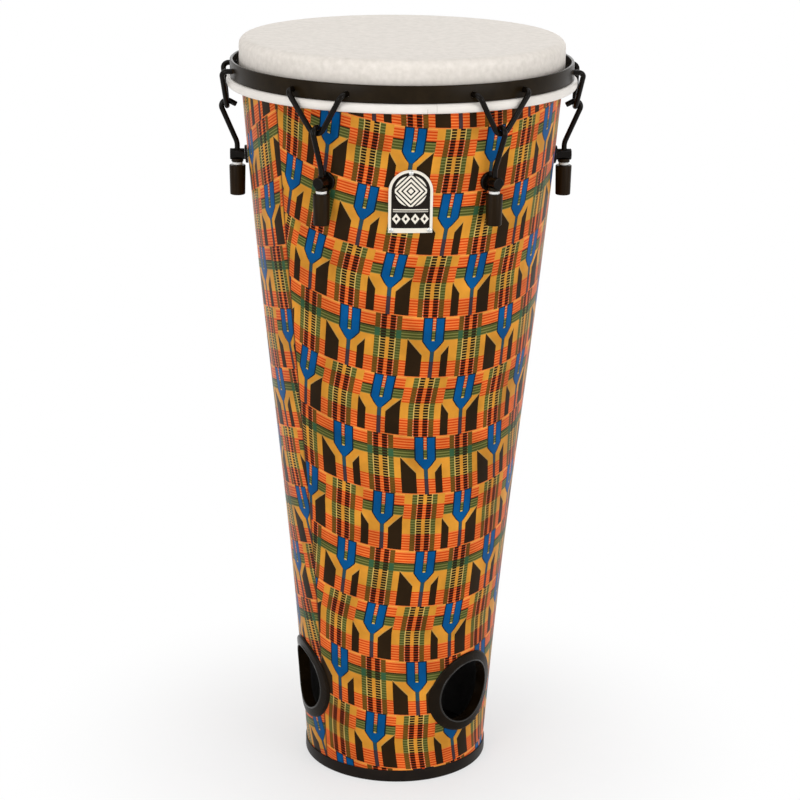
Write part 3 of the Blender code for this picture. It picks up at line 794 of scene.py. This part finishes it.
def badge_enamel():
    """White border and a plain ornament of diamonds on black, by the place on the plate."""
    paint = finish("badge_enamel", (22, 16, 11), (29, 22, 16), 0.28, scale=120, uneven=0.08,
                   grain=1500, relief=0.01, specular=0.1)
    tree = paint.node_tree
    _, side, up = parts(own_place(tree))
    side = side / MM
    aside = abs(side)
    up = (up - BADGE_BOTTOM) / MM

    def distance(rise):
        """Distance from a point of the middle line, by the rise above it."""
        return side.times_plus(side, rise * rise).step("SQRT")

    arch = distance((up - BADGE_SIDE / MM).at_least(0.0))
    inset = (BADGE_HALF_WIDTH / MM - arch).at_most(up)
    cell = abs((side + DIAMOND_HALF_PITCH).wrap(DIAMOND_HALF_PITCH))
    diamond = abs(up - DIAMONDS_UP).times_plus(DIAMOND_FLATNESS, cell)
    diamonds = diamond.between(*DIAMOND_LINE) & (aside < DIAMONDS_REACH)
    centre = up - DISC_UP
    disc = (distance(centre) < DISC_RADIUS) & (aside + abs(centre)).lines(*DISC_LINES)
    rules = up.between(*RULES_UP) & up.lines(*RULE_LINES) & (aside < RULES_REACH)
    white = (inset < BORDER) | (up < FOOT_BORDER) | diamonds | disc | rules
    return repaint(paint, white, tree.nodes["surface"].outputs["Color"], ink(232, 225, 211))


def white_hoop():
    """White moulding with the faint marks of its joint beside the badge."""
    paint = finish("white_hoop", (225, 219, 211), (235, 229, 222), 0.35, scale=40, uneven=0.1,
                   grain=700, relief=0.06)
    tree = paint.node_tree
    x, y, z = parts(own_place(tree))
    turn = x.step("ARCTAN2", y * -1.0).step("DEGREES")
    low_mark, mark = (turn.between(*sides) for sides in HOOP_MARKS)
    marks = (low_mark & (z < HOOP_MARK_TOP) | mark) * HOOP_MARK_DEPTH
    return repaint(paint, marks, tree.nodes["surface"].outputs["Color"], ink(186, 178, 164))


GROUPS = {"surface": surface_group(), "kente": kente_group()}
FINISHES = {
    "printed_film": printed_film(),
    "black_plastic": finish("black_plastic", (20, 14, 10), (28, 21, 15), 0.42, uneven=0.14, relief=0.05,
                            specular=0.1),
    "head_film": finish("head_film", (221, 214, 205), (235, 228, 220), 0.5, scale=190, grain=450,
                        relief=0.06, specular=0.07),
    "white_hoop": white_hoop(),
    "black_metal": finish("black_metal", (28, 20, 9), (36, 27, 14), 0.3, scale=90, grain=1400,
                          specular=0.07),
    "zinc_plate": finish("zinc_plate", (196, 196, 192), (220, 220, 216), 0.3, scale=300, uneven=0.2,
                         grain=2500, relief=0.02, metallic=1.0),
    "white_nylon": finish("white_nylon", (235, 234, 230), (246, 246, 243), 0.4, scale=200, uneven=0.1,
                          grain=1500, relief=0.02),
    "badge_enamel": badge_enamel(),
}
TRIM_BLACK = finish("trim_black", (18, 11, 4), (27, 18, 7), 0.26, specular=0.06)
TRIM_LIP = finish("trim_lip", (14, 10, 5), (24, 18, 10), 0.2, relief=0.02, specular=0.35)
WIRE_BLACK = finish("wire_black", (10, 7, 4), (18, 13, 8), 0.17, scale=200, uneven=0.1, grain=1400,
                    relief=0.03, specular=0.1)
FIBREGLASS = finish("fibreglass", (14, 12, 10), (34, 30, 26), 0.6, scale=140, uneven=0.25, grain=500,
                    relief=0.4)
NUT_BLACK = finish("nut_black", (25, 15, 4), (40, 28, 13), 0.33, scale=500, uneven=0.2,
                   stretch=(1, 1, 0.05), specular=0.065)


def grown(value, limits):
    """Share of the way from one limit to the other, kept between 0 and 1."""
    return max(0, min(1, (value - limits[0]) / (limits[1] - limits[0])))


def film_place(past_seam, height):
    """Column and row of the cloth at an angle in degrees past the seam and a height.

    Each panel is laid flat, in millimetres, and its printed rows and columns wander over the sheet."""
    front = past_seam < 180
    azimuth = SEAM_AZIMUTH + past_seam - (FRONT_MIDDLE if front else BACK_MIDDLE + 360)
    lean = atan2(SHELL_TOP_RADIUS - FOOT_RADIUS, SEAT_START)
    apex = SHELL_TOP_RADIUS / sin(lean)
    slant = apex + (height - SEAT_START) / cos(lean)
    turn = radians(azimuth) * sin(lean)
    x = slant * sin(turn) / MM
    y = (apex - slant * cos(turn)) / MM
    column, row = (sum(count * term for count, term in zip(counts, (1, x, y, x * x, y * y, x * y)))
                   for counts in ((FRONT_COLUMN, FRONT_ROW) if front else (BACK_COLUMN, BACK_ROW)))
    if front:
        for wave, sine, cosine in SWAYS:
            turn = 2 * pi * y / wave
            column += sine * sin(turn) + cosine * cos(turn)
        return column, row
    near = grown(x, PULL_ACROSS)
    return column, row + PULL * grown(y, PULL_DOWN) * near ** 2 * (3 - 2 * near) * x


def lay_film(mesh):
    """Give the shell's outer faces the film and its place on the cloth, and its walls smooth normals."""
    mesh.materials.append(FINISHES["printed_film"])
    mesh.materials.append(FIBREGLASS)
    film = mesh.attributes.new("film", "FLOAT_VECTOR", "CORNER")
    normals = [(0, 0, 0)] * len(mesh.loops)
    for face in mesh.polygons:
        centre = face.center
        facing = face.normal.dot(Vector((centre.x, centre.y, 0)).normalized())
        face.material_index = 0 if facing > 0.5 else 1
        middle = (azimuth_of(centre) - SEAM_AZIMUTH) % 360
        for corner in face.loop_indices:
            point = mesh.vertices[mesh.loops[corner].vertex_index].co
            around = (azimuth_of(point) - SEAM_AZIMUTH) % 360
            around += 360 * round((middle - around) / 360)
            panel = min(around, 179.999) if middle < 180 else max(around, 180)
            column, row = film_place(panel, point.z)
            past = around if middle < 90 else around - (180 if middle < 270 else 360)
            seam = radians(past) * shell_radius(point.z) / MM
            film.data[corner].vector = (column, row, seam)
            if abs(facing) > 0.5 and centre.z < SEAT_START:
                tilt = shell_tilt(point.z)
                flat = Vector((point.x, point.y, 0)).normalized() * cos(tilt)
                normals[corner] = Vector((flat.x, flat.y, -sin(tilt))) * copysign(1, facing)
    mesh.normals_split_custom_set(normals)
    return mesh


def rivet_places():
    """Sideways place and height of each rivet."""
    side = BADGE_HALF_WIDTH - RIVET_INSET
    top = BADGE_BOTTOM + BADGE_SIDE + BADGE_HALF_WIDTH - RIVET_INSET
    return [(0, top), (side, BADGE_BOTTOM + RIVET_INSET), (-side, BADGE_BOTTOM + RIVET_INSET)]


def make_shell():
    """The cone, with its ports and its bolt and rivet holes."""
    bottom = RING_SOLE + FIT_GAP
    levels = [SEAT_START + (bottom - SEAT_START) * k / CONE_RINGS for k in range(CONE_RINGS + 1)]
    profile = arc(SHELL_TOP_RADIUS - EDGE_ROUND, SHELL_TOP - EDGE_ROUND, EDGE_ROUND, 90, 0, 8)
    profile += [(shell_radius(level), level) for level in levels]
    profile += [(shell_radius(level) - SHELL_WALL, level) for level in reversed(levels[::4])]
    profile += [(SHELL_TOP_RADIUS - SHELL_WALL, SHELL_TOP - EDGE_CHAMFER)]
    blank = turned("shell", profile, LARGE_STEPS, start=radians(SEAM_AZIMUTH - 90))
    holes = [(outward(azimuth, shell_radius(PORT_HEIGHT), PORT_HEIGHT), PORT_RADIUS, 2 * PORT_RADIUS,
              PORT_STEPS) for azimuth in PORT_AZIMUTHS]
    holes += [(outward(azimuth, shell_radius(LUG_HEIGHT), LUG_HEIGHT), BOLT_RADIUS + FIT_GAP,
               5 * SHELL_WALL, 16) for azimuth in LUG_AZIMUTHS]
    holes += [(outward(BADGE_AZIMUTH, shell_radius(level), level, side), RIVET_RADIUS + FIT_GAP,
               5 * SHELL_WALL, 12) for side, level in rivet_places()]
    show("shell", lay_film(cut_mesh(blank, holes)))


def make_base_ring():
    """The plastic ring that caps the shell's lower edge."""
    outer = FOOT_RADIUS + FIT_GAP + RING_WALL
    lip = FOOT_RADIUS - SHELL_WALL - FIT_GAP
    inner = lip - RING_WALL
    top = RING_WALL / 2
    profile = [(shell_radius(RING_HEIGHT) + FIT_GAP, RING_HEIGHT)]
    profile += arc(outer - top, RING_HEIGHT - top, top, 90, 0, 5)
    profile += arc(outer - RING_ROUND, RING_ROUND, RING_ROUND, 0, -90, 6)
    profile += arc(inner + RING_ROUND, RING_ROUND, RING_ROUND, -90, -180, 6)
    profile += [(inner, RING_INNER_HEIGHT), (lip, RING_INNER_HEIGHT), (lip, RING_SOLE)]
    profile += [(shell_radius(RING_SOLE) + FIT_GAP, RING_SOLE)]
    show("base_ring", turned("base_ring", profile, LARGE_STEPS))


def make_port_trims():
    """Round trims with a lip round the opening and a softly rounded flange that follows the shell."""
    sleeve = PORT_RADIUS - FIT_GAP
    tail = -SHELL_WALL - TRIM_TAIL
    lip = TRIM_LIP_ROUND
    flange = TRIM_RISE - TRIM_FLANGE_DROP
    large = TRIM_FLANGE_ROUND
    profile = arc(TRIM_OPENING_RADIUS + lip, TRIM_RISE - lip, lip, 180, 15, 9)
    profile += arc(TRIM_FLANGE_RADIUS - large, flange - large, large, 90, 8, 7)
    profile += [(TRIM_FLANGE_RADIUS, FIT_GAP), (sleeve, FIT_GAP), (sleeve, tail),
                (TRIM_OPENING_RADIUS, tail)]
    for number, azimuth in enumerate(PORT_AZIMUTHS, 1):
        mesh = turned(f"port_trim_{number}", profile, PORT_STEPS)
        mesh.materials.append(TRIM_BLACK)
        mesh.materials.append(TRIM_LIP)
        for face in mesh.polygons:
            near = hypot(face.center.x, face.center.y) < TRIM_OPENING_RADIUS + 2 * lip
            face.material_index = int(near and face.center.z > TRIM_RISE - lip)
        show(f"port_trim_{number}", lay_on_shell(mesh, PORT_HEIGHT), station(azimuth))


def make_drumhead():
    """The head, whose collar follows the hoop."""
    middle = SHELL_TOP_RADIUS - EDGE_ROUND
    level = SHELL_TOP - EDGE_ROUND
    inner = EDGE_ROUND + FIT_GAP
    outer = inner + HEAD_THICKNESS
    down = [level + (HEAD_COLLAR_END - level) * k / 8 for k in range(1, 9)]
    profile = [(0, level + outer)] + [(middle * k / 4, level + outer) for k in range(1, 4)]
    profile += arc(middle, level, outer, 90, 0, 14)
    profile += [(middle + outer, height) for height in down]
    profile += [(middle + inner, height) for height in reversed(down)]
    profile += arc(middle, level, inner, 0, 90, 6) + [(0, level + inner)]
    head = show("drumhead", turned("drumhead", profile, LARGE_STEPS, closed=False), ride=False)
    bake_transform(head)


def make_hoop():
    """The moulded hoop round the head's collar, rounder on its outer side."""
    bottom = HOOP_TOP - HOOP_HEIGHT
    big = HOOP_ROUND
    small = HOOP_ROUND / 3
    profile = arc(HOOP_OUTER - big, HOOP_TOP - big, big, 90, 0, 10)
    profile += arc(HOOP_OUTER - big, bottom + big, big, 0, -90, 10)
    profile += arc(HOOP_INNER + small, bottom + small, small, -90, -180, 4)
    profile += arc(HOOP_INNER + small, HOOP_TOP - small, small, 180, 90, 4)
    show("flesh_hoop", turned("flesh_hoop", profile, LARGE_STEPS))


def make_rim():
    """The steel band on the hoop, with two holes for each hook."""
    top = RIM_BOTTOM + RIM_HEIGHT
    low = RIM_ROUND / 2
    profile = arc(RIM_INNER + RIM_ROUND, top - RIM_ROUND, RIM_ROUND, 180, 90, 5)
    profile += arc(RIM_OUTER - RIM_ROUND, top - RIM_ROUND, RIM_ROUND, 90, 0, 5)
    profile += arc(RIM_OUTER - low, RIM_BOTTOM + low, low, 0, -90, 3)
    profile += arc(RIM_INNER + low, RIM_BOTTOM + low, low, -90, -180, 3)
    holes = [(outward(azimuth, RIM_OUTER, HOOK_HOLE_HEIGHT, side), WIRE_RADIUS + FIT_GAP,
              8 * RIM_THICKNESS, 24)
             for azimuth in LUG_AZIMUTHS for side in (-HOOK_HALF_SPREAD, HOOK_HALF_SPREAD)]
    show("rim", cut_mesh(turned("rim", profile, LARGE_STEPS), holes))


def hook_route():
    """Route of a V hook: in through the rim, down each leg and round the bend at the bottom."""
    apex = HOOK_SEAT_HEIGHT
    for _ in range(20):
        half_angle = atan2(HOOK_HALF_SPREAD, HOOK_HOLE_HEIGHT - apex)
        apex = HOOK_SEAT_HEIGHT - HOOK_BOTTOM_BEND * (1 / sin(half_angle) - 1)
    fall = (LEG_TOP_OUT - HOOK_SEAT_OUT) / (HOOK_HOLE_HEIGHT - HOOK_SEAT_HEIGHT)
    apex_out = LEG_TOP_OUT - fall * (HOOK_HOLE_HEIGHT - apex)
    end_out = sqrt(RIM_INNER ** 2 - HOOK_HALF_SPREAD ** 2) - HOOK_END_PAST_RIM
    end = Vector((end_out, HOOK_HALF_SPREAD, HOOK_HOLE_HEIGHT))
    corner = Vector((LEG_TOP_OUT, HOOK_HALF_SPREAD, HOOK_HOLE_HEIGHT))
    point = Vector((apex_out, 0, apex))
    flip = Matrix.Diagonal((1, -1, 1))
    left = [end] + bend(end, corner, point, HOOK_TOP_BEND, 10)
    bottom = bend(corner, point, flip @ corner, HOOK_BOTTOM_BEND, 16)
    return left + bottom + [flip @ spot for spot in reversed(left)]


def rod_route(rod_out):
    """Route of a tension rod: up through the lug, outwards, and hooked over the V's bend."""
    hook = WIRE_RADIUS * 2 + FIT_GAP
    seat = Vector((HOOK_SEAT_OUT, 0, HOOK_SEAT_HEIGHT))
    foot = Vector((rod_out, 0, NUT_TOP - ROD_THREAD_IN_NUT))
    corner = Vector((rod_out, 0, LUG_HEIGHT + BARREL_RADIUS + ROD_BEND_RISE))
    across = seat - corner
    lean = atan2(across.x, across.z) + asin(hook / across.length)
    turns = [-lean + (radians(ROD_HOOK_TURN) + lean) * k / 18 for k in range(19)]
    hooked = [seat + hook * Vector((cos(turn), 0, sin(turn))) for turn in turns]
    tail = hooked[-1] + ROD_TAIL * Vector((-sin(turns[-1]), 0, cos(turns[-1])))
    return [foot] + bend(foot, corner, hooked[0], ROD_BEND, 10) + hooked + [tail]


def plate_mesh():
    """A round escutcheon with a rounded edge."""
    hole = BOLT_RADIUS + 3 * FIT_GAP
    profile = [(hole, PLATE_THICKNESS)]
    profile += arc(PLATE_RADIUS - PLATE_ROUND, PLATE_THICKNESS - PLATE_ROUND, PLATE_ROUND, 90, 0, 6)
    profile += [(PLATE_RADIUS, 0), (hole, 0)]
    return turned("lug_plate", profile, SMALL_STEPS)


def barrel_mesh(tilt):
    """The lug's post with its cross hole and a dished tip. Its +Z runs outwards from the shell."""
    tip = PLATE_RISE + BARREL_LENGTH
    dish = BARREL_RADIUS - BARREL_DISH_RIM
    slope = BARREL_DISH_SLOPE
    profile = [(0, tip - BARREL_DISH), (dish - slope, tip - slope), (dish, tip)]
    profile += arc(BARREL_RADIUS - BARREL_ROUND, tip - BARREL_ROUND, BARREL_ROUND, 90, 0, 5)
    profile += [(BARREL_RADIUS, 0), (0, 0)]
    cross = at(0, 0, PLATE_RISE + BARREL_LENGTH / 2) @ LYING
    deep = 4 * BARREL_RADIUS
    slant = Matrix.Rotation(tilt, 4, "Y") @ at(0, 0, PLATE_RISE - deep / 2)
    blank = turned("lug_barrel", profile, SMALL_STEPS, closed=False)
    drilled = cut_mesh(blank, [(cross, CROSS_HOLE_RADIUS, deep, 32)])
    return cut_mesh(drilled, [(slant, deep, deep, 12)])


def bolt_mesh():
    """A flanged bolt with a hexagon head inside the shell. Its +Z runs outwards from under the flange."""
    profile = [(0, BOLT_SHANK), (BOLT_RADIUS, BOLT_SHANK), (BOLT_RADIUS, 0),
               (BOLT_FLANGE_RADIUS, 0), (BOLT_FLANGE_RADIUS, BOLT_EDGE - BOLT_FLANGE_HEIGHT),
               (BOLT_FLANGE_RADIUS - BOLT_EDGE, -BOLT_FLANGE_HEIGHT), (0, -BOLT_FLANGE_HEIGHT)]
    shape = bmesh.new()
    shape.from_mesh(turned("lug_bolt", profile, SMALL_STEPS, closed=False))
    middle = at(0, 0, -BOLT_FLANGE_HEIGHT - BOLT_HEAD_HEIGHT / 2)
    bmesh.ops.create_cone(shape, cap_ends=True, segments=6, radius1=BOLT_HEAD_RADIUS - BOLT_EDGE,
                          radius2=BOLT_HEAD_RADIUS, depth=BOLT_HEAD_HEIGHT, matrix=middle)
    return as_mesh("lug_bolt", shape, BOLT_SMOOTH_ANGLE)


def saddle_mesh():
    """A washer whose top is hollowed to the barrel."""
    height = SADDLE_THICKNESS + SADDLE_HORN
    profile = [(CROSS_HOLE_RADIUS, height), (SADDLE_RADIUS, height), (SADDLE_RADIUS, WASHER_EDGE),
               (SADDLE_RADIUS - WASHER_EDGE, 0), (CROSS_HOLE_RADIUS, 0)]
    above = SADDLE_THICKNESS + FIT_GAP + BARREL_RADIUS
    hollow = (at(0, 0, above) @ LYING, BARREL_RADIUS + FIT_GAP, 4 * SADDLE_RADIUS, 64)
    return cut_mesh(turned("saddle_washer", profile, SMALL_STEPS), [hollow])


def nylon_mesh():
    face = NYLON_RADIUS - WASHER_EDGE
    profile = [(CROSS_HOLE_RADIUS, NYLON_THICKNESS), (face, NYLON_THICKNESS),
               (NYLON_RADIUS, NYLON_THICKNESS - WASHER_EDGE), (NYLON_RADIUS, WASHER_EDGE),
               (face, 0), (CROSS_HOLE_RADIUS, 0)]
    return turned("nylon_washer", profile, SMALL_STEPS)


def nut_mesh():
    """A tapered sleeve nut with a socket for the tuning key in its foot. Its top is at z = 0."""
    profile = [(CROSS_HOLE_RADIUS, 0)]
    profile += arc(NUT_TOP_RADIUS - NUT_ROUND, -NUT_ROUND, NUT_ROUND, 90, 0, 6)
    profile += arc(NUT_BOTTOM_RADIUS - NUT_ROUND, NUT_ROUND - NUT_LENGTH, NUT_ROUND, 0, -90, 6)
    profile += [(CROSS_HOLE_RADIUS, -NUT_LENGTH)]
    socket = (at(0, 0, -NUT_LENGTH), NUT_SOCKET_RADIUS, 2 * NUT_SOCKET_DEPTH, 6)
    nut = cut_mesh(turned("tuning_nut", profile, SMALL_STEPS), [socket])
    nut.materials.append(NUT_BLACK)
    return nut


def make_stations():
    """Six lug stations, each with its lug, washers, nut, rod and hook."""
    surface = shell_radius(LUG_HEIGHT)
    tilt = shell_tilt(LUG_HEIGHT)
    rod_out = surface + PLATE_RISE + BARREL_LENGTH / 2
    bolt_out = min(hypot(*corner.xy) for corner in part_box("lug_bolt_2")) + BOLT_FLANGE_HEIGHT
    bolt_out += BOLT_HEAD_HEIGHT
    lift = FIT_GAP * Vector((cos(tilt), 0, -sin(tilt)))
    slant = Matrix.Rotation(pi / 2 + tilt, 4, "Y")
    seat = Vector((surface, 0, LUG_HEIGHT))
    pieces = {
        "lug_plate": (plate_mesh(), at(*(seat + lift)) @ slant),
        "lug_barrel": (barrel_mesh(tilt), at(*seat) @ LYING),
        "lug_bolt": (bolt_mesh(), at(bolt_out, 0, LUG_HEIGHT) @ LYING),
        "saddle_washer": (saddle_mesh(), at(rod_out, 0, SADDLE_BOTTOM)),
        "nylon_washer": (nylon_mesh(), at(rod_out, 0, NYLON_BOTTOM)),
        "tuning_nut": (nut_mesh(), at(rod_out, 0, NUT_TOP)),
        "tension_rod": (tube("tension_rod", rod_route(rod_out)), Matrix.Identity(4)),
        "v_hook": (tube("v_hook", hook_route()), Matrix.Identity(4)),
    }
    for name in ("lug_plate", "lug_barrel", "tension_rod", "v_hook"):
        pieces[name][0].materials.append(WIRE_BLACK)
    for number, azimuth in enumerate(LUG_AZIMUTHS, 1):
        for name, (mesh, matrix) in pieces.items():
            show(f"{name}_{number}", mesh, station(azimuth) @ matrix)


def badge_mesh():
    """The badge's flat outline made solid, with its rivet holes, then bent round the shell."""
    outline = [(-BADGE_HALF_WIDTH, 0), (BADGE_HALF_WIDTH, 0)]
    outline += arc(0, BADGE_SIDE, BADGE_HALF_WIDTH, 0, 180, 48)
    shape = bmesh.new()
    face = shape.faces.new([shape.verts.new((x, y, FIT_GAP)) for x, y in outline])
    raised = bmesh.ops.extrude_face_region(shape, geom=[face])["geom"]
    corners = [part for part in raised if isinstance(part, bmesh.types.BMVert)]
    bmesh.ops.translate(shape, verts=corners, vec=(0, 0, BADGE_THICKNESS))
    holes = [(at(side, level - BADGE_BOTTOM, 0), RIVET_RADIUS + FIT_GAP,
              4 * BADGE_THICKNESS, 24) for side, level in rivet_places()]
    drilled = cut_mesh(as_mesh("badge_plate", shape), holes)
    shape = bmesh.new()
    shape.from_mesh(drilled)
    for k in range(1, BADGE_STRIPS):
        cut = BADGE_HALF_WIDTH * (2 * k / BADGE_STRIPS - 1)
        whole = shape.verts[:] + shape.edges[:] + shape.faces[:]
        bmesh.ops.bisect_plane(shape, geom=whole, plane_co=(cut, 0, 0), plane_no=(1, 0, 0))
    bmesh.ops.triangulate(shape, faces=shape.faces)
    return lay_on_shell(as_mesh("badge_plate", shape), BADGE_BOTTOM)


def rivet_mesh(side, level):
    """A domed rivet with a set head inside the shell, along +Z from the drum's middle plane."""
    outer = sqrt((shell_radius(level) + FIT_GAP + BADGE_THICKNESS) ** 2 - side ** 2)
    outer += (shell_radius(level + RIVET_HEAD_RADIUS) - shell_radius(level)) + FIT_GAP / 2
    wall = shell_radius(level - RIVET_HEAD_RADIUS) - SHELL_WALL
    inner = sqrt(wall ** 2 - (abs(side) + RIVET_HEAD_RADIUS) ** 2) - 2 * FIT_GAP
    turns = [pi / 2 * k / 8 for k in range(9)]
    profile = [(RIVET_HEAD_RADIUS * sin(turn), outer + RIVET_HEAD_HEIGHT * cos(turn)) for turn in turns]
    profile += [(RIVET_RADIUS, outer), (RIVET_RADIUS, inner), (RIVET_HEAD_RADIUS, inner),
                (RIVET_HEAD_RADIUS * 0.7, inner - RIVET_HEAD_HEIGHT), (0, inner - RIVET_HEAD_HEIGHT)]
    return turned("badge_rivet", profile, SMALL_STEPS, closed=False)


def make_badge():
    """The badge plate and the rivets that hold it."""
    turn = station(BADGE_AZIMUTH)
    show("badge_plate", badge_mesh(), turn)
    for number, (side, level) in enumerate(rivet_places(), 1):
        place = at(0, side, level) @ LYING
        show(f"badge_rivet_{number}", rivet_mesh(side, level), turn @ place)


def make_camera():
    """A camera in front of the drum, a little above its head."""
    lens = bpy.data.cameras.new("camera")
    lens.sensor_width = SENSOR_WIDTH
    lens.lens = FOCAL_PIXELS / IMAGE_WIDTH * SENSOR_WIDTH
    camera = new_object("camera", lens)
    look = Matrix.Rotation(pi / 2 - CAMERA_PITCH, 4, "X") @ Matrix.Rotation(CAMERA_ROLL, 4, "Z")
    stand = at(CAMERA_SIDE, -CAMERA_DISTANCE, CAMERA_HEIGHT)
    camera.matrix_world = Matrix.Rotation(radians(CAMERA_AZIMUTH), 4, "Z") @ stand @ look
    bpy.context.scene.camera = camera


def make_light():
    """Soft lamps, and a world that the camera, reflections and clear pieces see as white."""
    for name, place, size, power in LAMPS:
        lamp = bpy.data.lights.new(name, "AREA")
        lamp.size = size
        lamp.energy = power
        holder = new_object(name, lamp)
        holder.location = place
        holder.rotation_euler = (Vector(LAMPS_AIM) - Vector(place)).to_track_quat("-Z", "Y").to_euler()
    world = bpy.data.worlds.new("studio")
    bpy.context.scene.world = world
    world.use_nodes = True
    tree = world.node_tree
    tree.nodes.clear()
    soft, white = (add(tree, "Background", (1, 1, 1, 1), light).outputs[0] for light in (WORLD_LIGHT, 1.0))
    add(tree, "OutputWorld", add(tree, "MixShader", seen_white(tree), soft, white).outputs[0])


def make_floor():
    """A pale floor that keeps the drum's shadow and fades to white further out."""
    shape = bmesh.new()
    bmesh.ops.create_grid(shape, x_segments=1, y_segments=1, size=6)
    floor = new_object("floor", as_mesh("floor", shape))
    paint = bpy.data.materials.new("floor_white")
    paint.use_nodes = True
    tree = paint.node_tree
    shader = fill(tree.nodes["Principled BSDF"], Roughness=0.9).outputs[0]
    place = own_place(tree)
    repaint(paint, noise(place, 30.0, 4.0), ink(240, 240, 240), ink(245, 245, 245))
    away = add(tree, "VectorMath", place)
    away.operation = "LENGTH"
    away = Value(away.outputs["Value"])
    fade = away.spread(FLOOR_FADE, FLOOR_WHITE, smooth=True)
    white = fade & (away > FOOT_RADIUS - SHELL_WALL / 2) & seen_white(tree)
    mixed = add(tree, "MixShader", white, shader, add(tree, "Emission").outputs[0])
    put(mixed.outputs[0], tree.nodes["Material Output"].inputs["Surface"])
    floor.data.materials.append(paint)


make_shell()
make_base_ring()
make_port_trims()
make_drumhead()
make_hoop()
make_rim()
make_stations()
make_badge()
make_camera()
make_light()
make_floor()
bpy.context.scene.view_settings.view_transform = "Standard"
